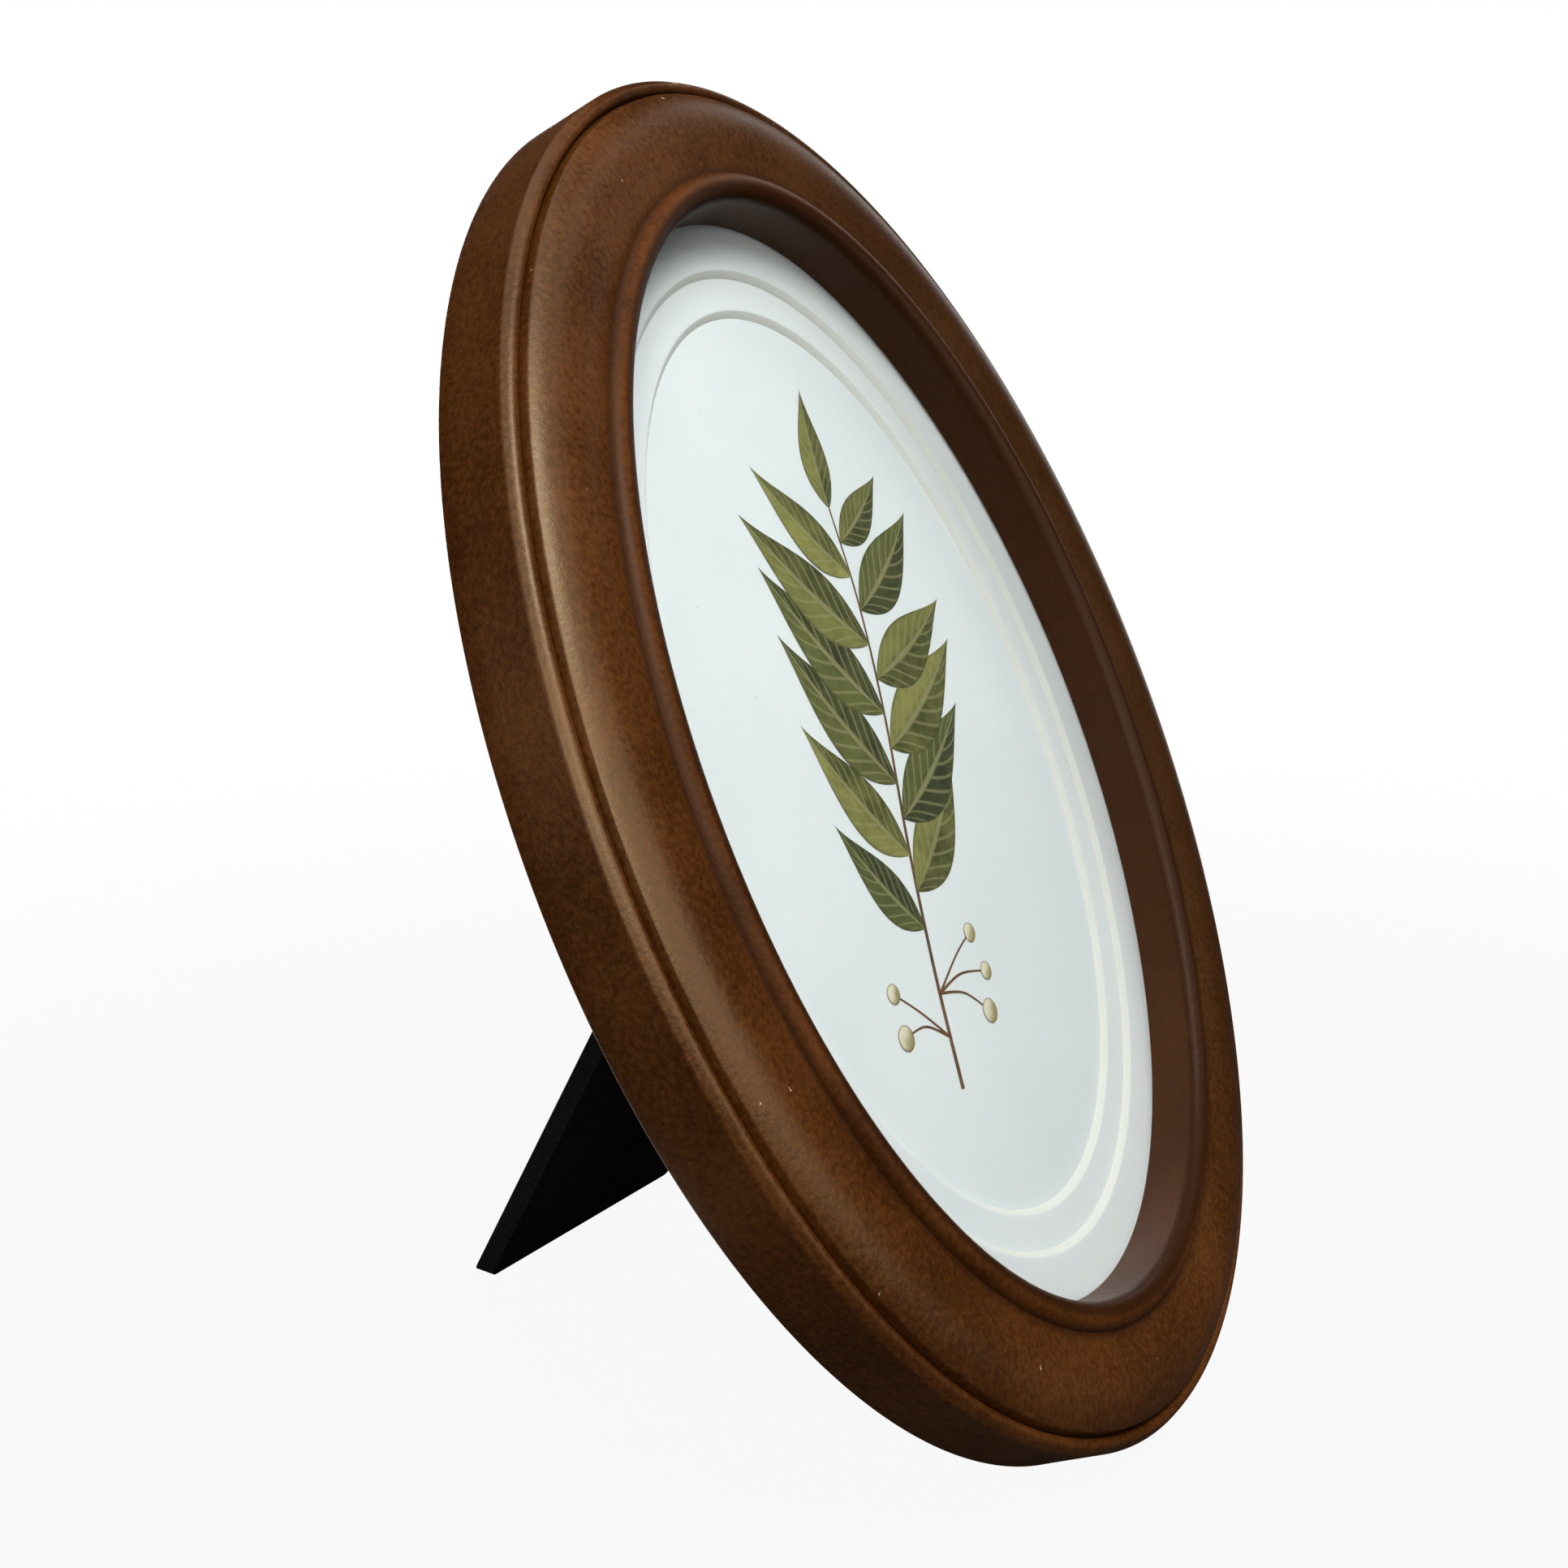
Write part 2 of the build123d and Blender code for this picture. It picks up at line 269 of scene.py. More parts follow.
# %% Rub group
def make_rub():
    tree, given, result = effect_group(
        "edge rub",
        {"Edge": 0.0, "Patch Scale": 25.0, "Chip Scale": 500.0, "Patch Start": 0.55, "Chip Start": 0.62},
        ["Rub", "Chip"])
    patch = noise(tree, given["Vector"], given["Patch Scale"], detail=2.0)
    chips = noise(tree, given["Vector"], given["Chip Scale"], detail=2.0)
    past_patch = math_node(tree, "SUBTRACT", patch, given["Patch Start"])
    past_chip = math_node(tree, "SUBTRACT", chips, given["Chip Start"])
    rub = math_node(tree, "MULTIPLY", spread(tree, past_patch, 0.0, 0.12), given["Edge"])
    chip = math_node(tree, "MULTIPLY", rub, spread(tree, past_chip, 0.0, 0.05))
    tree.links.new(rub, result["Rub"])
    tree.links.new(chip, result["Chip"])
    return tree


rub_group = make_rub()
print("group:", rub_group.name)

# %% Fleck group
RAGGED_EDGE, RAGGED_FINENESS = 0.24, 16.0


def make_flecks():
    tree, given, result = effect_group(
        "scattered flecks", {"Scale": 90.0, "Size": 0.05, "Share": 0.1}, ["Fleck"])
    cells = put(tree, "ShaderNodeTexVoronoi", {"Vector": given["Vector"], "Scale": given["Scale"]}).outputs
    finer = math_node(tree, "MULTIPLY", given["Scale"], RAGGED_FINENESS)
    ragged = noise(tree, given["Vector"], finer, detail=1.0)
    edge = math_node(tree, "MULTIPLY_ADD", ragged, RAGGED_EDGE, cells["Distance"])
    reach = math_node(tree, "ADD", given["Size"], RAGGED_EDGE / 2)
    inside = spread(tree, math_node(tree, "SUBTRACT", reach, edge), 0.0, 0.015)
    drawn = out(tree, "ShaderNodeSeparateColor", {0: cells["Color"]})
    chosen = math_node(tree, "LESS_THAN", drawn, given["Share"])
    tree.links.new(math_node(tree, "MULTIPLY", inside, chosen), result["Fleck"])
    return tree


fleck_group = make_flecks()
print("group:", fleck_group.name)


# %% [markdown]
# ## Starting a material
# Every finish of the object is a Principled shader that reads Object coordinates, because all pieces
# sit at the origin and share one frame. A pattern then keeps its real size and runs on from piece to
# piece.


# %% Material starter
def new_finish(name, roughness, specular):
    """A material with its tree, its Principled node and its Object coordinates."""
    finish = bpy.data.materials.new(name)
    finish.use_nodes = True
    tree = finish.node_tree
    shader = tree.nodes["Principled BSDF"]
    shader.inputs["Roughness"].default_value = roughness
    shader.inputs["Specular IOR Level"].default_value = specular
    place = tree.nodes.new("ShaderNodeTexCoord").outputs["Object"]
    return finish, tree, shader, place


def use_group(tree, group, place, numbers):
    """The outputs of one use of a shader group, with its own numbers."""
    return put(tree, "ShaderNodeGroup", {"Vector": place, **numbers}, node_tree=group).outputs


def mottled(tree, place, broad, fine, share):
    """The mottle's shade and height, from its two scales and the fine one's share."""
    return use_group(tree, mottle_group, place,
                     {"Broad Scale": broad, "Fine Scale": fine, "Fine Share": share})


def read_mark(tree, label):
    """A float attribute of the mesh, as a socket."""
    return put(tree, "ShaderNodeAttribute", attribute_name=label).outputs["Fac"]


def paint(tree, shader, colour, roughness=None):
    """Links a colour to the shader, and a roughness where one is given."""
    tree.links.new(colour, shader.inputs["Base Color"])
    if roughness is not None:
        tree.links.new(roughness, shader.inputs["Roughness"])


def add_bump(tree, shader, height, strength, distance):
    """Bumps the shader's normal by a height socket."""
    bump = out(tree, "ShaderNodeBump", {"Strength": strength, "Distance": distance, "Height": height})
    tree.links.new(bump, shader.inputs["Normal"])


print("shared effects:", [group.name for group in (mottle_group, rub_group, fleck_group)])

# %% [markdown]
# ## Brown lacquer
# The moulding is stained brown, darker where the stain has pooled in the grooves, with lighter rubbed spots
# and tiny chips on the outer lip and the crest. Painted shade darkens the grooves further, the bead's
# inner side and the inner wall, and the right and top of the ring. The outside and the face have a satin
# lacquer with warm broad highlights. The bead and the inner wall are duller, so one function makes both
# finishes with different gloss. The grooves and edges are marked on the profile itself, as attributes,
# because a profile knows where they are and a texture would have to guess.

# %% Lacquered brown finishes
STAIN_DARK, STAIN_LIGHT = (0.033, 0.0084, 0.0008), (0.092, 0.0272, 0.0034)
# Painted shade: of the next two browns, the first darkens the right and top of the ring, the second the
# grooves (with pooled stain), the bead's inner side and the inner wall.
PAINTED_SHADE_BROWN, STAIN_AND_SHADE_BROWN = (0.025, 0.0080, 0.0013), (0.023, 0.0066, 0.0013)
RUBBED_WOOD, BARE_WOOD = (0.17, 0.085, 0.038), (0.46, 0.35, 0.23)
# Painted shade towards the right and top of the ring: its direction, where it starts and ends, and its
# strength.
PAINTED_SHADE_TOWARDS, PAINTED_SHADE_FROM, PAINTED_SHADE_TO, PAINTED_SHADE_SHARE = (1.0, 0.1, 0.25), 0.03, 0.13, 0.8
RUB_SHOWS, RUB_DULLS = 0.45, 0.15


def make_stained(name, specular, tint, rough_low, rough_high):
    finish, tree, shader, place = new_finish(name, rough_high, specular)
    shader.inputs["Specular Tint"].default_value = rgba(tint)
    shade, height = mottled(tree, place, broad=34.0, fine=900.0, share=0.55)
    worn_edge = read_mark(tree, "worn_edge")
    rub, chip = use_group(tree, rub_group, place,
                          {"Edge": worn_edge, "Patch Scale": 30.0, "Chip Scale": 800.0,
                           "Patch Start": 0.62, "Chip Start": 0.58})
    stain = blend_colour(tree, shade, STAIN_DARK, STAIN_LIGHT)
    # Painted shade: the stain turns darker towards the right and top of the ring.
    side_shade_slant = put(tree, "ShaderNodeVectorMath", {0: place, 1: PAINTED_SHADE_TOWARDS}, operation="DOT_PRODUCT")
    deep = spread(tree, side_shade_slant.outputs["Value"], PAINTED_SHADE_FROM, PAINTED_SHADE_TO, 0.0, PAINTED_SHADE_SHARE)
    toned = blend_colour(tree, deep, stain, PAINTED_SHADE_BROWN)
    # Pooled stain and painted shade: darker in the grooves, on the bead's inner side and on the inner wall.
    stained_and_shaded = blend_colour(tree, read_mark(tree, "stain_and_painted_shade"), toned, STAIN_AND_SHADE_BROWN)
    rubbed = blend_colour(tree, math_node(tree, "MULTIPLY", rub, RUB_SHOWS), stained_and_shaded, RUBBED_WOOD)
    flecks = use_group(tree, fleck_group, place, {"Scale": 135.0, "Size": 0.035, "Share": 0.75})
    handled = spread(tree, worn_edge, 0.02, 0.12)
    edge_flecks = math_node(tree, "MULTIPLY", flecks["Fleck"], handled)
    nicks = math_node(tree, "MAXIMUM", chip, edge_flecks)
    chipped = blend_colour(tree, nicks, rubbed, BARE_WOOD)
    satin = spread(tree, shade, 0.0, 1.0, rough_low, rough_high)
    paint(tree, shader, chipped, math_node(tree, "MULTIPLY_ADD", rub, RUB_DULLS, satin))
    add_bump(tree, shader, height, strength=0.34, distance=0.25 * MM)
    return finish


brown_lacquer = make_stained("brown_lacquer", specular=0.48, tint=(1.0, 0.80, 0.50),
                             rough_low=0.31, rough_high=0.41)
inner_stain = make_stained("inner_stain", specular=0.4, tint=(0.25, 0.21, 0.17),
                           rough_low=0.36, rough_high=0.46)
print("finishes:", brown_lacquer.name, inner_stain.name)

# %% [markdown]
# ## The moulding's profile
# A frame maker grinds this profile into a cutter: plain side, rounded lip, narrow quirk, broad domed
# face, valley and round bead, with the rabbet behind. Points are (inset from the edge, height above
# the back) in millimetres. The bead is an arc, and the lip and the domed face are smooth curves through
# three points. The lip and the start of the face depart from the solid by about half a millimetre, to
# come closer to the photograph's soft edges.


# %% Curves of the profile
def arc_points(middle, radius, start, end, steps):
    """Points on a circle from start to end, in degrees."""
    turns = [math.radians(start + (end - start) * i / steps) for i in range(steps + 1)]
    return [(middle[0] + radius * math.cos(a), middle[1] + radius * math.sin(a)) for a in turns]


def direction(angle):
    """A direction in the profile's plane, from degrees."""
    return Vector((math.cos(math.radians(angle)), math.sin(math.radians(angle))))


def smooth_through(first, mid, last, start_angle, end_angle, steps):
    """A smooth curve through three points with given directions at its ends."""
    first, mid, last = Vector(first), Vector(mid), Vector(last)
    start, end = direction(start_angle), direction(end_angle)
    up, down = (mid - first).length, (last - mid).length
    pull = 3 * ((mid - first) / up**2 + (last - mid) / down**2)
    middle = (pull - start / up - end / down) / (2 / up + 2 / down)
    found = []
    for a, b, leave, arrive, span in ((first, mid, start, middle, up), (mid, last, middle, end, down)):
        for i in range(steps):
            s = i / steps
            found.append((2 * s**3 - 3 * s**2 + 1) * a + (s**3 - 2 * s**2 + s) * span * leave
                         + (3 * s**2 - 2 * s**3) * b + (s**3 - s**2) * span * arrive)
    return [tuple(p) for p in found] + [tuple(last)]


print("a quarter arc's middle:", [round(v, 3) for v in arc_points((0, 0), 1, 0, 90, 2)[1]])

# %% Profile points
LIP_SIDE, LIP_TOP, LIP_END = (1.1, 15.3), (2.8, 16.9), (4.1, 16.2)
LIP_START_ANGLE, LIP_END_ANGLE, LIP_STEPS = 52, -70, 8
QUIRK, FACE_START, CROWN, VALLEY = (4.5, 14.9), (5.15, 17.5), (10.4, 19.8), (23.2, 18.5)
FACE_START_ANGLE, VALLEY_ANGLE, FACE_STEPS, BEAD_STEPS = 40, -11, 14, 14
BEAD_SIDE, RABBET_INSET, RABBET_DEPTH = (29.2, 17.2), 24.2, 7.6
BACK_ROUND, BACK_STEPS = 0.5, 4
WALL_SHARES, FLANK_SHARES = (0.35, 0.7, 0.96), (0.0, 0.3, 0.6, 0.95)

bead_rise, bead_run = VALLEY[1] - BEAD_SIDE[1], BEAD_SIDE[0] - VALLEY[0]
bead_radius = (bead_run**2 + bead_rise**2) / (2 * bead_run)
bead_middle = (BEAD_SIDE[0] - bead_radius, BEAD_SIDE[1])
bead_end = math.degrees(math.atan2(bead_rise, VALLEY[0] - bead_middle[0]))
back = [(RABBET_INSET, 0.0)] + arc_points((BACK_ROUND, BACK_ROUND), BACK_ROUND, 270, 180, BACK_STEPS)
wall = [tuple(Vector(LIP_SIDE) * share) for share in WALL_SHARES]
lip = smooth_through(LIP_SIDE, LIP_TOP, LIP_END, LIP_START_ANGLE, LIP_END_ANGLE, LIP_STEPS)
flank = [tuple(Vector(QUIRK).lerp(Vector(FACE_START), share)) for share in FLANK_SHARES]
face = smooth_through(FACE_START, CROWN, VALLEY, FACE_START_ANGLE, VALLEY_ANGLE, FACE_STEPS)
bead = arc_points(bead_middle, bead_radius, bead_end, 0, BEAD_STEPS)
rabbet = [(BEAD_SIDE[0], RABBET_DEPTH), (RABBET_INSET, RABBET_DEPTH)]
profile = back + wall + lip + flank + face + bead[1:] + rabbet
print("profile points:", len(profile), "bead radius, mm:", round(bead_radius, 2))

# %% Marks on the profile
# Each spot has its reach and its strength
WEAR_SPOTS = [((2.0, 16.7), 1.6, 1.0), ((6.0, 17.7), 1.6, 0.8), (CROWN, 6.0, 0.3)]
# Pooled stain and painted shade in the quirk and the valley, and painted shade on the bead's inner side and
# the inner wall.
STAIN_AND_SHADE_SPOTS = [(QUIRK, 1.7, 0.6), (VALLEY, 2.0, 0.8)]
BEAD_SHADE_INSET, BEAD_SHADE_LEVEL, BEAD_PAINTED_SHADE, INNER_WALL_PAINTED_SHADE = 25.4, 17.3, 0.95, 0.5
DULL_INSET, MARK_RUN = VALLEY[0] - 0.8, 1.2


def strongest(point, spots):
    """The strongest of several spots, each at its strength in its middle and at 0 from its reach on."""
    return max(strength * max(0.0, 1 - math.dist(point, spot) / reach) for spot, reach, strength in spots)


def ramp(inset, start):
    """0 up to start, then rising to 1."""
    return max(0.0, min(1.0, (inset - start) / MARK_RUN))


def marks(point):
    """How worn, how stained and darkened by painted shade, and how dull the profile is at a point."""
    inner_shade_share = BEAD_PAINTED_SHADE if point[1] > BEAD_SHADE_LEVEL else INNER_WALL_PAINTED_SHADE
    stained_and_shaded = max(strongest(point, STAIN_AND_SHADE_SPOTS), inner_shade_share * ramp(point[0], BEAD_SHADE_INSET))
    return strongest(point, WEAR_SPOTS), stained_and_shaded, ramp(point[0], DULL_INSET)


worn_marks, stain_and_shade_marks, dull_marks = (list(values) for values in zip(*[marks(p) for p in profile]))
print("marks:", [round(sum(values), 1) for values in (worn_marks, stain_and_shade_marks, dull_marks)])

# %% [markdown]
# ## Sweeping the moulding
# The ring follows a rule, one profile carried round an oval, so a Geometry Nodes tree makes it. The
# seed holds the profile, Curve Circle stretched to the two half sizes is the path, and Curve to Mesh
# carries one along the other. The last steps lean the ring back, press what lies under the table level
# up to it, which gives the narrow flat on which the frame rests, and give the marked bead and inner
# wall their duller finish.


# %% Tree that sweeps a profile round an oval
def make_sweep():
    tree, given, result = growing_tree(
        "sweep round an oval",
        [("Half Width", NUMBER, 0.1), ("Half Height", NUMBER, 0.15), ("Steps", COUNT, 256),
         ("Inner Material", MATERIAL, None)])
    section = out(tree, "GeometryNodeMeshToCurve", {"Mesh": given["Geometry"]})
    ring = out(tree, "GeometryNodeCurvePrimitiveCircle", {"Resolution": given["Steps"], "Radius": 1.0})
    stretch = combine(tree, given["Half Width"], given["Half Height"], 1.0)
    oval = out(tree, "GeometryNodeTransform", {"Geometry": ring, "Scale": stretch})
    upright = out(tree, "GeometryNodeSetCurveNormal", {"Curve": oval}, mode="Z_UP")
    swept = out(tree, "GeometryNodeCurveToMesh", {"Curve": upright, "Profile Curve": section})
    leaning = lean_back(tree, swept, given)
    x, y, z = split(tree, out(tree, "GeometryNodeInputPosition"))
    rested = combine(tree, x, y, math_node(tree, "MAXIMUM", z, 0.0))
    flat = out(tree, "GeometryNodeSetPosition", {"Geometry": leaning, "Position": rested})
    mark = out(tree, "GeometryNodeInputNamedAttribute", {"Name": "dull_bead"}, data_type="FLOAT")
    finish_tree(tree, flat, given, result, inner=math_node(tree, "GREATER_THAN", mark, 0.5))
    return tree


sweep_tree = make_sweep()
print("tree:", sweep_tree.name, "nodes:", len(sweep_tree.nodes))

# %% The moulding piece
RING_STEPS = 480
CUBIC_CENTIMETRES = 1e6


def outward(piece):
    """Signed volume of a closed mesh in cubic centimetres: positive when its faces point outwards."""
    mesh = piece.data
    mesh.calc_loop_triangles()
    points = [v.co for v in mesh.vertices]
    corners = [triangle.vertices for triangle in mesh.loop_triangles]
    return sum(points[a].dot(points[b].cross(points[c])) for a, b, c in corners) / 6 * CUBIC_CENTIMETRES


loop = [(i, (i + 1) % len(profile)) for i in range(len(profile))]
# The seed carries the wear, the stain with painted shade, and the dull marks.
profile_mesh = seed_mesh("profile", [(-inset * MM, -level * MM, 0.0) for inset, level in profile], loop,
                         {"worn_edge": worn_marks, "stain_and_painted_shade": stain_and_shade_marks, "dull_bead": dull_marks})
moulding = grow("oval_moulding", profile_mesh, sweep_tree,
                {"Half Width": HALF_WIDTH, "Half Height": HALF_HEIGHT, "Steps": RING_STEPS,
                 "Material": brown_lacquer, "Inner Material": inner_stain})
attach(moulding, "frame")
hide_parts("frame_moulding")
print("moulding volume, cm3:", round(outward(moulding), 1))

# %% [markdown]
# ## White mat board
# Mat board is pressed paper with a smooth cool white face and a warmer core, which shows where the
# opening is cut at a bevel. Its face is matt with a faint felt-like grain. The bevel is marked on the
# section, so that one finish serves both.

# %% Mat board finish
SHEET_LOW, SHEET_HIGH, CUT_CORE = (0.735, 0.790, 0.800), (0.790, 0.835, 0.835), (0.725, 0.742, 0.690)


def make_board():
    finish, tree, shader, place = new_finish("white_mat_board", roughness=0.85, specular=0.25)
    shade, height = mottled(tree, place, broad=18.0, fine=1500.0, share=0.35)
    sheet = blend_colour(tree, shade, SHEET_LOW, SHEET_HIGH)
    paint(tree, shader, blend_colour(tree, read_mark(tree, "cut_core"), sheet, CUT_CORE))
    add_bump(tree, shader, height, strength=0.12, distance=0.12 * MM)
    return finish


mat_board = make_board()
print("finish:", mat_board.name)

# %% [markdown]
# ## Cutting the mats
# A mat is an oval board with an oval hole, and the two ovals aren't at one distance from each other,
# so a sweep won't do. The seed lists rings instead: each seed point holds a ring's half width, half
# height and level, and the tree bends a grid so that every row of it follows its ring.

# %% Tree that lofts ovals
WELD = 0.01 * MM


def make_loft():
    tree, given, result = growing_tree("loft of ovals", [("Rings", COUNT, 5), ("Steps", COUNT, 256)])
    columns = out(tree, "FunctionNodeIntegerMath", {0: given["Steps"], 1: 1}, operation="ADD")
    grid = out(tree, "GeometryNodeMeshGrid", {"Vertices X": columns, "Vertices Y": given["Rings"]})
    by_rings = {0: out(tree, "GeometryNodeInputIndex"), 1: given["Rings"]}
    column = out(tree, "FunctionNodeIntegerMath", by_rings, operation="DIVIDE_FLOOR")
    row = out(tree, "FunctionNodeIntegerMath", by_rings, operation="MODULO")
    share = math_node(tree, "DIVIDE", column, given["Steps"])
    angle = math_node(tree, "MULTIPLY", share, 2 * math.pi)
    where = out(tree, "GeometryNodeInputPosition")
    mark = out(tree, "GeometryNodeInputNamedAttribute", {"Name": "cut_core"}, data_type="FLOAT")
    sizes, core = (
        out(tree, "GeometryNodeSampleIndex", {"Geometry": given["Geometry"], "Value": value, "Index": row},
            data_type=kind, domain="POINT")
        for value, kind in ((where, "FLOAT_VECTOR"), (mark, "FLOAT")))
    half_width, half_height, level = split(tree, sizes)
    x = math_node(tree, "MULTIPLY", half_width, math_node(tree, "COSINE", angle))
    y = math_node(tree, "MULTIPLY", half_height, math_node(tree, "SINE", angle))
    kept = store(tree, grid, "cut_core", core)
    bent = out(tree, "GeometryNodeSetPosition", {"Geometry": kept, "Position": combine(tree, x, y, level)})
    closed = out(tree, "GeometryNodeMergeByDistance", {"Geometry": bent, "Distance": WELD})
    finish_tree(tree, lean_back(tree, closed, given), given, result)
    return tree


loft_tree = make_loft()
print("tree:", loft_tree.name, "nodes:", len(loft_tree.nodes))

# %% The two mats
STACK, BOARD, MAT_STEPS = (87.5, 125.0), 1.3, 360
FACE_GAP, CUT_EASE = 0.04, 0.12


def make_mat(name, node, opening, back_level):
    """One mat from its opening's front half sizes and the level of its back, in millimetres."""
    front = back_level + BOARD - FACE_GAP
    cut = [(6 * CUT_EASE, front, 0), (CUT_EASE, front, 0), (-CUT_EASE / 2, front - CUT_EASE / 2, 1),
           (-BOARD, back_level, 1)]
    rings = [(*STACK, back_level, 0), (*STACK, front, 0)]
    rings += [(opening[0] + wider, opening[1] + wider, level, core) for wider, level, core in cut]
    rings.append(rings[0])
    mesh = seed_mesh(name, [(w * MM, h * MM, level * MM) for w, h, level, core in rings],
                     [(i, i + 1) for i in range(len(rings) - 1)], {"cut_core": [r[3] for r in rings]})
    mat = grow(name, mesh, loft_tree, {"Rings": len(rings), "Steps": MAT_STEPS, "Material": mat_board})
    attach(mat, "frame")
    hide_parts(node)
    print(name, "volume, cm3:", round(outward(mat), 1))


make_mat("outer_mat_board", "outer_mat", opening=(75.2, 110.7), back_level=4.5)
make_mat("inner_mat_board", "inner_mat", opening=(67.6, 102.0), back_level=3.2)

# %% [markdown]
# ## The printed sheet
# Behind the mats lies one sheet of matt paper. It carries a plain sprig that was drawn for this lesson:
# narrow leaves on a bowed stem with small round berries. The sheet itself is cool white with faint
# grey clouds and a few specks. Its solid is already right, so it only gets the paper finish.

# %% Paper finish
PAPER_LOW, PAPER_HIGH, PAPER_SPECK = (0.715, 0.780, 0.785), (0.770, 0.825, 0.820), (0.42, 0.43, 0.40)


def make_paper():
    finish, tree, shader, place = new_finish("print_paper", roughness=0.8, specular=0.25)
    shade, height = mottled(tree, place, broad=26.0, fine=1300.0, share=0.3)
    cloud = blend_colour(tree, shade, PAPER_LOW, PAPER_HIGH)
    specks = use_group(tree, fleck_group, place, {"Scale": 150.0, "Size": 0.04, "Share": 0.9})
    faint = math_node(tree, "MULTIPLY", specks["Fleck"], 0.35)
    paint(tree, shader, blend_colour(tree, faint, cloud, PAPER_SPECK))
    add_bump(tree, shader, height, strength=0.08, distance=0.1 * MM)
    return finish


def dress(node, finish):
    """Gives a CAD node its finish."""
    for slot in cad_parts[node].material_slots:
        slot.link = "OBJECT"
        slot.material = finish
    print(node, "wears", finish.name)


dress("art_print", make_paper())

# %% [markdown]
# ## The sprig's path
# One bowed line is the stem, and short curved twigs leave it for the berries. All lines are seed
# meshes in the picture plane, in millimetres. They lie 0.03 to 0.15 mm above the sheet, almost as
# flat as ink, with the stem lowest.

# %% Stem and twigs
INK_LEVEL, TWIG_LIFT, LEAF_LIFT, BERRY_LIFT = 3.23, 0.01, 0.03, 0.12
STEM = [(-20, -70), (-15, -46), (-8, -20), (1, 8), (7, 34), (9, 56)]
LOW_FORK, HIGH_FORK = (-17.8, -59.5), (-15.8, -50.5)
TWIGS = [
    [LOW_FORK, (-25, -55), (-33, -55)],
    [LOW_FORK, (-25, -52), (-32, -46)],
    [HIGH_FORK, (-7, -53), (0, -59)],
    [HIGH_FORK, (-6, -49), (4, -51)],
    [HIGH_FORK, (-5, -45), (3, -42)],
]


def line_mesh(name, lines, level):
    """A seed mesh of several open lines in the picture plane."""
    points, edges = [], []
    for line in lines:
        first = len(points)
        points += [(x * MM, y * MM, level * MM) for x, y in line]
        edges += [(first + i, first + i + 1) for i in range(len(line) - 1)]
    return seed_mesh(name, points, edges)


def smooth_path(tree, given):
    """The seed's lines as smooth curves."""
    path = out(tree, "GeometryNodeMeshToCurve", {"Mesh": given["Geometry"]})
    return out(tree, "GeometryNodeCurveSplineType", {"Curve": path}, spline_type="CATMULL_ROM")


def random_number(tree, low, high, seed):
    """One random number for each point, drawn by a fixed seed."""
    made = put(tree, "FunctionNodeRandomValue", {2: low, 3: high, "Seed": seed}, data_type="FLOAT")
    return made.outputs[1]


print("stem points:", len(STEM), "twigs:", len(TWIGS))

# %% [markdown]
# ## Leaves
# A leaf is a flat blade on a curved midrib, widest below its middle. A small tree shapes one leaf from
# a grid and marks how far along and how far across each point is, so that the ink can draw the veins.
# The sprig's tree then sets leaves on the stem from side to side, larger in the middle, each turned
# and toned a little by a fixed seed.

# %% Tree of one leaf
LEAF_GRID = {"Size X": 1.0, "Size Y": 2.0, "Vertices X": 33, "Vertices Y": 9}
LEAF_BELLY, LEAF_POINT, LEAST_SWELL = 0.72, 1.25, 0.0005


def make_leaf():
    tree, given, result = group_tree(
        "printed leaf", "GeometryNodeTree",
        [("Length", NUMBER, 0.03), ("Width", NUMBER, 0.01), ("Bow", NUMBER, 0.2)],
        [("Geometry", GEOMETRY)])
    grid = out(tree, "GeometryNodeMeshGrid", LEAF_GRID)
    from_middle, across = split(tree, out(tree, "GeometryNodeInputPosition"))[:2]
    along = math_node(tree, "ADD", from_middle, 0.5)
    marked = store(tree, grid, "leaf_along", along)
    marked = store(tree, marked, "leaf_across", across)
    warped = math_node(tree, "POWER", along, LEAF_BELLY)
    swell = math_node(tree, "SINE", math_node(tree, "MULTIPLY", warped, math.pi))
    blade = math_node(tree, "POWER", math_node(tree, "MAXIMUM", swell, LEAST_SWELL), LEAF_POINT)
    half = math_node(tree, "MULTIPLY", math_node(tree, "MULTIPLY", blade, given["Width"]), 0.5)
    x = math_node(tree, "MULTIPLY", along, given["Length"])
    bowed = math_node(tree, "MULTIPLY", math_node(tree, "MULTIPLY", along, along), given["Bow"])
    rib = math_node(tree, "MULTIPLY", bowed, given["Length"])
    y = math_node(tree, "MULTIPLY_ADD", across, half, rib)
    shaped = out(tree, "GeometryNodeSetPosition", {"Geometry": marked, "Position": combine(tree, x, y)})
    tree.links.new(shaped, result["Geometry"])
    return tree


leaf_tree = make_leaf()
print("tree:", leaf_tree.name, "nodes:", len(leaf_tree.nodes))

# %% Tree that sets leaves on the stem
LEAF_JITTER, JITTER_SIZE, LEAF_BOW, TONE_SEED_STEP = 0.22, 0.6, 0.16, 7.0
SIZE_TURN, SIZE_START, LEAST_SIZE, SIZE_GAIN = 2.2, 0.55, 0.45, 0.55
TIP_FROM, TIP_SPREAD = 0.9, 0.05


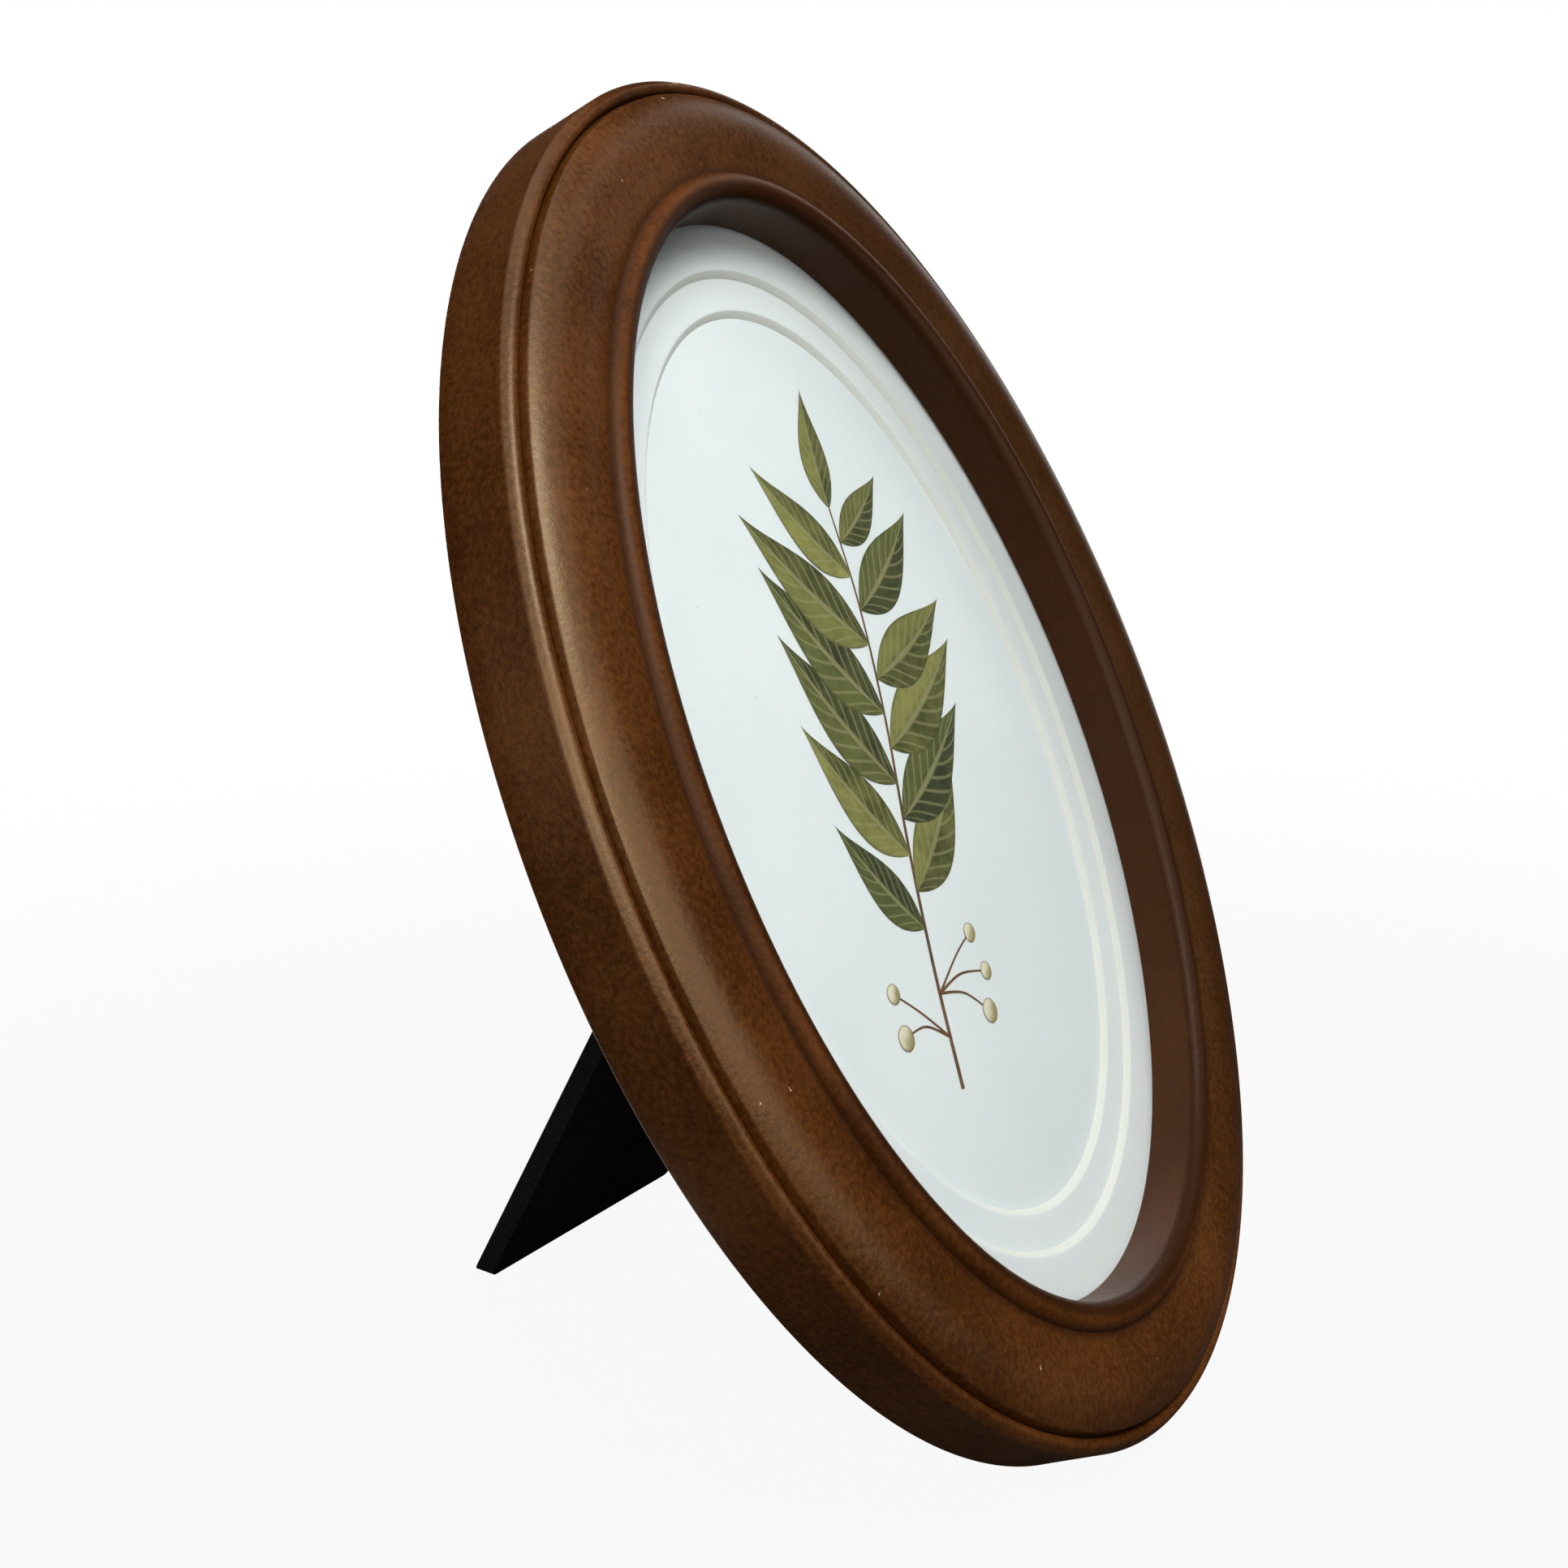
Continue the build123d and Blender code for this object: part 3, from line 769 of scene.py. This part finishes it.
def make_spray():
    tree, given, result = growing_tree(
        "leaves on a stem",
        [("Leaves", COUNT, 15), ("Bare Share", NUMBER, 0.2), ("Leaf Length", NUMBER, 0.03),
         ("Leaf Width", NUMBER, 0.01), ("Spread", NUMBER, 0.8), ("Layer", NUMBER, 0.00001),
         ("Seed", COUNT, 1)])
    leafy = out(tree, "GeometryNodeTrimCurve",
                {"Curve": smooth_path(tree, given), 2: given["Bare Share"], 3: 1.0}, mode="FACTOR")
    spots = put(tree, "GeometryNodeCurveToPoints", {"Curve": leafy, "Count": given["Leaves"]},
                mode="COUNT").outputs
    tangent_x, tangent_y = split(tree, spots["Tangent"])[:2]
    ahead = math_node(tree, "ARCTAN2", tangent_y, tangent_x)
    index = out(tree, "GeometryNodeInputIndex")
    odd = math_node(tree, "MODULO", index, 2.0)
    last = math_node(tree, "SUBTRACT", given["Leaves"], 1.0)
    rise = math_node(tree, "DIVIDE", index, last)
    tip = spread(tree, rise, TIP_FROM, 1.0, 1.0, TIP_SPREAD)
    jitter = random_number(tree, -LEAF_JITTER, LEAF_JITTER, given["Seed"])
    bulge = math_node(tree, "SINE", math_node(tree, "MULTIPLY_ADD", rise, SIZE_TURN, SIZE_START))
    full_size = math_node(tree, "MULTIPLY_ADD", bulge, SIZE_GAIN, LEAST_SIZE)
    size = math_node(tree, "MULTIPLY_ADD", jitter, JITTER_SIZE, full_size)
    both = tree.nodes.new("GeometryNodeJoinGeometry")
    for turn_of, way in ((0.0, 1.0), (1.0, -1.0)):
        leaf = out(tree, "GeometryNodeGroup",
                   {"Length": given["Leaf Length"], "Width": given["Leaf Width"], "Bow": -way * LEAF_BOW},
                   node_tree=leaf_tree)
        swing = math_node(tree, "MULTIPLY", given["Spread"], way)
        aside = math_node(tree, "MULTIPLY_ADD", swing, tip, ahead)
        angle = combine(tree, z=math_node(tree, "ADD", aside, jitter))
        leaves = out(tree, "GeometryNodeInstanceOnPoints",
                     {"Points": spots["Points"], "Selection": math_node(tree, "COMPARE", odd, turn_of, 0.1),
                      "Instance": leaf, "Rotation": out(tree, "FunctionNodeEulerToRotation", {0: angle}),
                      "Scale": size})
        tree.links.new(leaves, both.inputs[0])
    tone_seed = math_node(tree, "ADD", given["Seed"], TONE_SEED_STEP)
    toned = store(tree, both.outputs[0], "leaf_tone", random_number(tree, 0.0, 1.0, tone_seed), "INSTANCE")
    lift = combine(tree, z=math_node(tree, "MULTIPLY", index, given["Layer"]))
    layered = out(tree, "GeometryNodeTranslateInstances",
                  {"Instances": toned, "Translation": lift, "Local Space": False})
    real = out(tree, "GeometryNodeRealizeInstances", {"Geometry": layered})
    finish_tree(tree, lean_back(tree, real, given), given, result)
    return tree


spray_tree = make_spray()
print("tree:", spray_tree.name, "nodes:", len(spray_tree.nodes))

# %% Leaf ink
DEEP_LOW, DEEP_HIGH = (0.010, 0.015, 0.005), (0.050, 0.058, 0.012)
PALE_LOW, PALE_HIGH = (0.060, 0.078, 0.020), (0.270, 0.260, 0.075)
VEIN_INK, LEAF_RIM, VEINS, VEIN_SLANT = (0.255, 0.250, 0.115), (0.030, 0.034, 0.014), 9.0, -0.22


def make_leaf_ink():
    finish, tree, shader, place = new_finish("leaf_ink", roughness=0.8, specular=0.2)
    along, across, tone = (read_mark(tree, mark) for mark in ("leaf_along", "leaf_across", "leaf_tone"))
    shade = mottled(tree, place, broad=160.0, fine=900.0, share=0.35)["Shade"]
    wide = math_node(tree, "ABSOLUTE", across)
    deep = blend_colour(tree, tone, DEEP_LOW, DEEP_HIGH)
    pale = blend_colour(tree, tone, PALE_LOW, PALE_HIGH)
    upper = math_node(tree, "SUBTRACT", spread(tree, across, -0.2, 0.3, 0.1, 0.75), 0.2)
    wash = math_node(tree, "MULTIPLY_ADD", shade, 0.5, upper)
    blade = blend_colour(tree, wash, deep, pale)
    slanted = math_node(tree, "MULTIPLY_ADD", wide, VEIN_SLANT, along)
    ribs = math_node(tree, "FRACT", math_node(tree, "MULTIPLY", slanted, VEINS))
    from_rib = math_node(tree, "ABSOLUTE", math_node(tree, "SUBTRACT", ribs, 0.5))
    vein = spread(tree, from_rib, 0.06, 0.16, 0.5, 0.0)
    midrib = spread(tree, wide, 0.05, 0.13, 0.75, 0.0)
    veined = blend_colour(tree, math_node(tree, "MAXIMUM", vein, midrib), blade, VEIN_INK)
    rim = spread(tree, wide, 0.86, 1.0, 0.0, 0.55)
    paint(tree, shader, blend_colour(tree, rim, veined, LEAF_RIM))
    return finish


leaf_path = line_mesh("leaf_path", [STEM], INK_LEVEL + LEAF_LIFT)
leaves = grow("printed_leaves", leaf_path, spray_tree,
              {"Leaves": 13, "Bare Share": 0.26, "Leaf Length": 43 * MM, "Leaf Width": 15 * MM,
               "Spread": 1.02, "Layer": 0.004 * MM, "Seed": 5, "Material": make_leaf_ink()})
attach(leaves, "frame")

# %% [markdown]
# ## Stem, twigs and berries
# The stem and twigs are flat ribbons that thin out towards their ends. Each twig ends in a berry: a
# small disc with a mark for how far each point lies from its middle, which the ink turns into a round,
# shaded look.

# %% Tree of ribbons
RIBBON_STEPS = 40


def make_ribbons():
    tree, given, result = growing_tree(
        "thinning ribbons", [("Width", NUMBER, 0.001), ("End Share", NUMBER, 0.4)])
    fine = out(tree, "GeometryNodeResampleCurve",
               {"Curve": smooth_path(tree, given), "Count": RIBBON_STEPS})
    upright = out(tree, "GeometryNodeSetCurveNormal", {"Curve": fine}, mode="Z_UP")
    along = out(tree, "GeometryNodeSplineParameter")
    thin = out(tree, "ShaderNodeMapRange", {0: along, 3: 1.0, 4: given["End Share"]})
    half = math_node(tree, "MULTIPLY", given["Width"], 0.5)
    left = combine(tree, math_node(tree, "MULTIPLY", half, -1.0))
    bar = out(tree, "GeometryNodeCurvePrimitiveLine", {"Start": left, "End": combine(tree, half)})
    ribbon = out(tree, "GeometryNodeCurveToMesh", {"Curve": upright, "Profile Curve": bar, "Scale": thin})
    finish_tree(tree, lean_back(tree, ribbon, given), given, result)
    return tree


ribbon_tree = make_ribbons()
print("tree:", ribbon_tree.name, "nodes:", len(ribbon_tree.nodes))

# %% Tree of berries
BERRY_GRID = {"Size X": 1.0, "Size Y": 1.0, "Vertices X": 7, "Vertices Y": 25}
BERRY_WELD, BERRY_SLANT = 0.0005, 0.35
BERRY_SMALL, BERRY_LARGE = 0.8, 1.2


def make_berries():
    tree, given, result = growing_tree(
        "berries on twig ends", [("Berry Radius", NUMBER, 0.002), ("Seed", COUNT, 1)])
    path = out(tree, "GeometryNodeMeshToCurve", {"Mesh": given["Geometry"]})
    ends = out(tree, "GeometryNodeCurveEndpointSelection", {0: 0, 1: 1})
    disc = out(tree, "GeometryNodeMeshGrid", BERRY_GRID)
    from_middle, turn_share = split(tree, out(tree, "GeometryNodeInputPosition"))[:2]
    reach = math_node(tree, "ADD", from_middle, 0.5)
    around = math_node(tree, "MULTIPLY", turn_share, 2 * math.pi)
    x = math_node(tree, "MULTIPLY", reach, math_node(tree, "COSINE", around))
    y = math_node(tree, "MULTIPLY", reach, math_node(tree, "SINE", around))
    shadow_side = math_node(tree, "MULTIPLY", x, -BERRY_SLANT)
    light_side = math_node(tree, "MULTIPLY_ADD", y, BERRY_SLANT, shadow_side)
    marked = store(tree, disc, "berry_light", light_side)
    marked = store(tree, marked, "berry_reach", reach)
    bent = out(tree, "GeometryNodeSetPosition", {"Geometry": marked, "Position": combine(tree, x, y)})
    whole = out(tree, "GeometryNodeMergeByDistance", {"Geometry": bent, "Distance": BERRY_WELD})
    size = random_number(tree, BERRY_SMALL, BERRY_LARGE, given["Seed"])
    scale = math_node(tree, "MULTIPLY", size, given["Berry Radius"])
    set_out = out(tree, "GeometryNodeInstanceOnPoints",
                  {"Points": path, "Selection": ends, "Instance": whole, "Scale": scale})
    real = out(tree, "GeometryNodeRealizeInstances", {"Geometry": set_out})
    finish_tree(tree, lean_back(tree, real, given), given, result)
    return tree


berry_tree = make_berries()
print("tree:", berry_tree.name, "nodes:", len(berry_tree.nodes))

# %% Stem and berry inks
STEM_DARK, STEM_LIGHT = (0.055, 0.026, 0.012), (0.17, 0.085, 0.04)
BERRY_DARK, BERRY_PALE, BERRY_RIM = (0.30, 0.245, 0.105), (0.74, 0.70, 0.52), (0.11, 0.085, 0.035)


def make_stem_ink():
    finish, tree, shader, place = new_finish("stem_ink", roughness=0.8, specular=0.2)
    shade = mottled(tree, place, broad=120.0, fine=1100.0, share=0.5)["Shade"]
    paint(tree, shader, blend_colour(tree, shade, STEM_DARK, STEM_LIGHT))
    return finish


def make_berry_ink():
    finish, tree, shader, place = new_finish("berry_ink", roughness=0.8, specular=0.2)
    shade = mottled(tree, place, broad=300.0, fine=1200.0, share=0.4)["Shade"]
    lit = math_node(tree, "MULTIPLY_ADD", shade, 0.2, read_mark(tree, "berry_light"))
    skin = blend_colour(tree, spread(tree, lit, -0.25, 0.4), BERRY_DARK, BERRY_PALE)
    rim = spread(tree, read_mark(tree, "berry_reach"), 0.8, 1.0, 0.0, 0.7)
    paint(tree, shader, blend_colour(tree, rim, skin, BERRY_RIM))
    return finish


stem_ink = make_stem_ink()
stem = grow("printed_stem", line_mesh("stem_paths", [STEM], INK_LEVEL), ribbon_tree,
            {"Width": 1.3 * MM, "End Share": 0.45, "Material": stem_ink})
twigs = grow("printed_twigs", line_mesh("twig_paths", TWIGS, INK_LEVEL + TWIG_LIFT), ribbon_tree,
             {"Width": 0.7 * MM, "End Share": 0.6, "Material": stem_ink})
berries = grow("printed_berries", line_mesh("berry_paths", TWIGS, INK_LEVEL + BERRY_LIFT), berry_tree,
               {"Berry Radius": 2.4 * MM, "Seed": 3, "Material": make_berry_ink()})
for piece in (stem, twigs, berries):
    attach(piece, "frame")

# %% [markdown]
# ## Glass
# Picture glass is plain and flat. A Principled shader with full transmission shows its reflections and
# its small shift of what lies behind. Light that only passes through to the boards would be lost in
# the pane, so shadow rays and diffuse rays see a plain transparent surface in its place.

# %% Clear glass
GLASS_COLOUR, PASSING_COLOUR = (0.985, 0.995, 0.99), (0.96, 0.97, 0.97)


def make_glass():
    finish, tree, shader, place = new_finish("clear_picture_glass", roughness=0.0, specular=0.5)
    shader.inputs["Base Color"].default_value = rgba(GLASS_COLOUR)
    shader.inputs["Transmission Weight"].default_value = 1.0
    shader.inputs["IOR"].default_value = 1.5
    smear = mottled(tree, place, broad=14.0, fine=260.0, share=0.2)["Shade"]
    tree.links.new(spread(tree, smear, 0.3, 1.0, 0.0, 0.03), shader.inputs["Roughness"])
    ray = tree.nodes.new("ShaderNodeLightPath").outputs
    passing = math_node(tree, "MAXIMUM", ray["Is Shadow Ray"], ray["Is Diffuse Ray"])
    clear = out(tree, "ShaderNodeBsdfTransparent", {"Color": rgba(PASSING_COLOUR)})
    mixed = out(tree, "ShaderNodeMixShader", {0: passing, 1: shader.outputs[0], 2: clear})
    tree.links.new(mixed, tree.nodes["Material Output"].inputs["Surface"])
    return finish


dress("glass_pane", make_glass())

# %% [markdown]
# ## Black board
# The strut and the back are fibreboard covered with black paper: very dark, matt, with a faint pressed
# grain and greyer scuffs. The foot of the strut is rubbed most, since it stands on the table. Each
# board has its own black: the strut's has no gloss at all, so that it stays black when seen at a slant.

# %% Black board finishes
SCUFF, BARE_FIBRE, COOL_SHARE, FOOT_HEIGHT = (0.010, 0.010, 0.010), (0.04, 0.036, 0.032), 1.06, 6 * MM


def make_black(name, dark, light, specular):
    finish, tree, shader, place = new_finish(name, roughness=0.7, specular=specular)
    shade, height = mottled(tree, place, broad=30.0, fine=1400.0, share=0.6)
    above_table = split(tree, place)[2]
    foot = spread(tree, above_table, 0.0, FOOT_HEIGHT, 0.25, 0.05)
    rub, chip = use_group(tree, rub_group, place,
                          {"Edge": foot, "Patch Scale": 45.0, "Chip Scale": 600.0,
                           "Patch Start": 0.5, "Chip Start": 0.56})
    low, high = ((grey, grey, grey * COOL_SHARE) for grey in (dark, light))
    paper = blend_colour(tree, shade, low, high)
    scuffed = blend_colour(tree, math_node(tree, "MULTIPLY", rub, 0.5), paper, SCUFF)
    fibre = blend_colour(tree, chip, scuffed, BARE_FIBRE)
    paint(tree, shader, fibre, spread(tree, shade, 0.0, 1.0, 0.62, 0.8))
    add_bump(tree, shader, height, strength=0.25, distance=0.12 * MM)
    return finish


dress("easel_strut", make_black("black_strut_board", dark=0.009, light=0.024, specular=0.0))
dress("back_board", make_black("black_back_board", dark=0.010, light=0.022, specular=0.12))

# %% [markdown]
# ## Plated steel
# The hinge, rivets, swivel clips and screws are pressed from sheet and dull plated. One function makes
# their finish, with fine drawn lines in its colour and roughness, and a darker version for the clips.

# %% Steel finishes
DRAWN_LINES, SMOOTHER, ROUGHER = (1.0, 0.12, 0.12), 0.04, 0.08


def make_steel(name, dark, light, rough):
    finish, tree, shader, place = new_finish(name, rough, specular=0.5)
    shader.inputs["Metallic"].default_value = 1.0
    stretched = out(tree, "ShaderNodeMapping", {"Vector": place, "Scale": DRAWN_LINES})
    drawn = noise(tree, stretched, scale=2600.0, detail=3.0)
    cloud = mottled(tree, place, broad=120.0, fine=900.0, share=0.3)["Shade"]
    shade = math_node(tree, "MULTIPLY_ADD", drawn, 0.5, math_node(tree, "MULTIPLY", cloud, 0.5))
    plated = blend_colour(tree, shade, dark, light)
    paint(tree, shader, plated, spread(tree, shade, 0.2, 0.8, rough - SMOOTHER, rough + ROUGHER))
    return finish


hinge_steel = make_steel("plated_steel", dark=(0.44, 0.44, 0.43), light=(0.57, 0.57, 0.55), rough=0.38)
clip_steel = make_steel("dull_clip_steel", dark=(0.22, 0.215, 0.20), light=(0.40, 0.39, 0.37), rough=0.4)
for node in ("hinge_back_leaf", "hinge_strut_leaf", "hinge_pin", "back_leaf_rivets", "strut_leaf_rivets",
             "turn_button_screws"):
    dress(node, hinge_steel)
for number in range(1, 5):
    dress(f"turn_button_{number}", clip_steel)

# %% [markdown]
# ## Floor
# Camera, glossy and transmission rays see the floor as almost white, so that the background is white
# at a plain light level. A small share of it near the object stays an ordinary matt surface, which
# keeps the shadow. To all other rays it is a mid grey, so that little light comes up from it and the
# lower wall of the moulding stays dark.

# %% Floor
WHITE, FLOOR_GREY = (1.0, 1.0, 1.0), (0.16, 0.16, 0.16)
FLOOR_REACH, SHADOW_NEAR, SHADOW_FAR, WHITE_NEAR = 4, 0.2, 0.8, 0.93


def seen_rays(tree):
    """1 for camera, glossy and transmission rays."""
    ray = tree.nodes.new("ShaderNodeLightPath").outputs
    first = math_node(tree, "MAXIMUM", ray["Is Camera Ray"], ray["Is Glossy Ray"])
    return math_node(tree, "MAXIMUM", first, ray["Is Transmission Ray"])


def one_face(name, corners, finish):
    """A stage piece of four corners."""
    mesh = bpy.data.meshes.new(name)
    mesh.from_pydata(corners, [], [(0, 1, 2, 3)])
    mesh.materials.append(finish)
    piece = bpy.data.objects.new(name, mesh)
    bpy.context.scene.collection.objects.link(piece)
    return piece


def lying(x0, y0, x1, y1, z):
    """The corners of a level rectangle."""
    return [(x0, y0, z), (x1, y0, z), (x1, y1, z), (x0, y1, z)]


def make_floor():
    finish = bpy.data.materials.new("pale_floor")
    finish.use_nodes = True
    tree = finish.node_tree
    tree.nodes.clear()
    matt = out(tree, "ShaderNodeBsdfDiffuse", {"Color": rgba(FLOOR_GREY)})
    white = out(tree, "ShaderNodeEmission", {"Color": rgba(WHITE), "Strength": 1.0})
    place = tree.nodes.new("ShaderNodeTexCoord").outputs["Object"]
    far = put(tree, "ShaderNodeVectorMath", {0: place}, operation="LENGTH").outputs["Value"]
    whiteness = spread(tree, far, SHADOW_NEAR, SHADOW_FAR, WHITE_NEAR, 1.0)
    share = math_node(tree, "MULTIPLY", seen_rays(tree), whiteness)
    mixed = out(tree, "ShaderNodeMixShader", {0: share, 1: matt, 2: white})
    tree.links.new(mixed, tree.nodes.new("ShaderNodeOutputMaterial").inputs["Surface"])
    return one_face("floor", lying(-FLOOR_REACH, -FLOOR_REACH, FLOOR_REACH, FLOOR_REACH, 0), finish)


floor = make_floor()
print("floor:", floor.name)

# %% [markdown]
# ## Cards and world
# A photographer sets cards round a shiny thing to choose what it mirrors. Dark cards here keep the
# glass clear and the grooves deep, and two pale glowing ones give the left crest its long highlight.
# Only glossy and transmission rays see them, so they neither light nor shade anything. The world is
# white to the rays that see it and a soft cool grey as a light.

# %% Cards and world
DARK_CARD, DIM_CARD, PALE_CARD, CARD_GLOW = 0.03, 0.05, 0.5, 2.4
GLOW_COLOUR, ROOM_COLOUR = (1.0, 0.95, 0.88), (0.130, 0.138, 0.148)


def standing(first, second, low, high):
    """The corners of an upright rectangle on two points of the floor plan."""
    return [(*first, low), (*second, low), (*second, high), (*first, high)]


CARDS = {
    "front_card": (lying(-2, -2, 2, 0.08, MM), DARK_CARD, 0.0),
    "left_card": (lying(-2, 0.08, -0.13, 2, MM), DARK_CARD, 0.0),
    "side_card": (standing((0.7, -1.2), (1.35, 0), 0, 1.5), DARK_CARD, 0.0),
    "back_card": (standing((1.3, 1.2), (-1.6, 1.2), 0, 1.6), DARK_CARD, 0.0),
    "corner_card": (standing((1.7, 0.6), (1.3, 1.2), 0, 2.0), DARK_CARD, 0.0),
    "top_card": (lying(0.5, 1.5, 1.9, -0.5, 2.0), DIM_CARD, 0.0),
    "pale_left": (standing((-0.9, 0.1), (-0.9, -0.75), 0.1, 0.8), PALE_CARD, CARD_GLOW),
    "pale_front": (standing((-0.9, -0.75), (0.45, -1), 0.2, 0.9), PALE_CARD, CARD_GLOW),
}


def make_card(name, corners, shade, glow):
    finish = bpy.data.materials.new(name)
    finish.use_nodes = True
    shader = finish.node_tree.nodes["Principled BSDF"]
    shader.inputs["Base Color"].default_value = rgba((shade, shade, shade))
    shader.inputs["Specular IOR Level"].default_value = 0.0
    shader.inputs["Emission Color"].default_value = rgba(GLOW_COLOUR)
    shader.inputs["Emission Strength"].default_value = glow
    card = one_face(name, corners, finish)
    card.visible_camera = card.visible_diffuse = card.visible_shadow = False
    return card


cards = [make_card(name, *facts) for name, facts in CARDS.items()]
world = bpy.data.worlds.new("studio")
bpy.context.scene.world = world
world.use_nodes = True
sky = world.node_tree
room = sky.nodes["Background"]
sky.links.new(blend_colour(sky, seen_rays(sky), ROOM_COLOUR, WHITE), room.inputs["Color"])
room.inputs["Strength"].default_value = 1.0
print("stage:", [o.name for o in (floor, *cards)])

# %% [markdown]
# ## Light
# A softbox above the viewer's left lights the boards. A skylight from the upper right throws the
# moulding's soft shadow on the right mat, and is kept out of reflections, where it would put a spot on
# the dome. A warm window on the left models the side wall, and a fill behind shows the back.

# %% Lamps
AIM = Vector((0, 0.06, 0.14))
NEUTRAL, WARM = (1.0, 0.99, 0.985), (1.0, 0.95, 0.88)
LAMPS = {
    "softbox": ((-0.36, -0.36, 0.93), (0.5, 0.45), 8.3, NEUTRAL),
    "skylight": ((0.55, -0.15, 0.95), (0.5, 0.45), 5.2, NEUTRAL),
    "window": ((-0.66, -0.44, 0.50), (0.6, 0.26), 2.8, WARM),
    "rear_fill": ((0.6, 1.05, 0.3), (0.6, 0.4), 9.0, WHITE),
}


def add_lamp(name, place, size, power, colour):
    lamp = bpy.data.lights.new(name, "AREA")
    lamp.shape, lamp.size, lamp.size_y = "RECTANGLE", size[0], size[1]
    lamp.energy, lamp.color = power, colour
    stand = bpy.data.objects.new(name, lamp)
    stand.location = place
    stand.rotation_euler = (AIM - Vector(place)).to_track_quat("-Z", "Y").to_euler()
    bpy.context.scene.collection.objects.link(stand)
    return stand


lamps = {name: add_lamp(name, *facts) for name, facts in LAMPS.items()}
lamps["skylight"].visible_glossy = False
print("lamps:", list(lamps))

# %% [markdown]
# ## Camera
# The camera's place was worked out from the ovals: the ratio of the outer oval, the sight edge and the
# mats' openings fixes the viewing angle, and their spread fixes the distance.

# %% Camera at the photograph's angle
SENSOR, FOCAL_LENGTH, NEAREST = 36.0, 37.923, 0.01
CAMERA_PLACE = (-0.303543, -0.115663, 0.207296)
CAMERA_TURN = (77.5453, -0.5537, -55.9048)

lens = bpy.data.cameras.new("camera")
lens.sensor_width, lens.sensor_fit = SENSOR, "HORIZONTAL"
lens.lens = FOCAL_LENGTH
lens.clip_start = NEAREST
camera = bpy.data.objects.new("camera", lens)
camera.location = CAMERA_PLACE
camera.rotation_euler = [math.radians(angle) for angle in CAMERA_TURN]
bpy.context.scene.collection.objects.link(camera)
bpy.context.scene.camera = camera
bpy.context.scene.view_settings.view_transform = "Standard"
print("camera:", [round(v, 3) for v in camera.location])
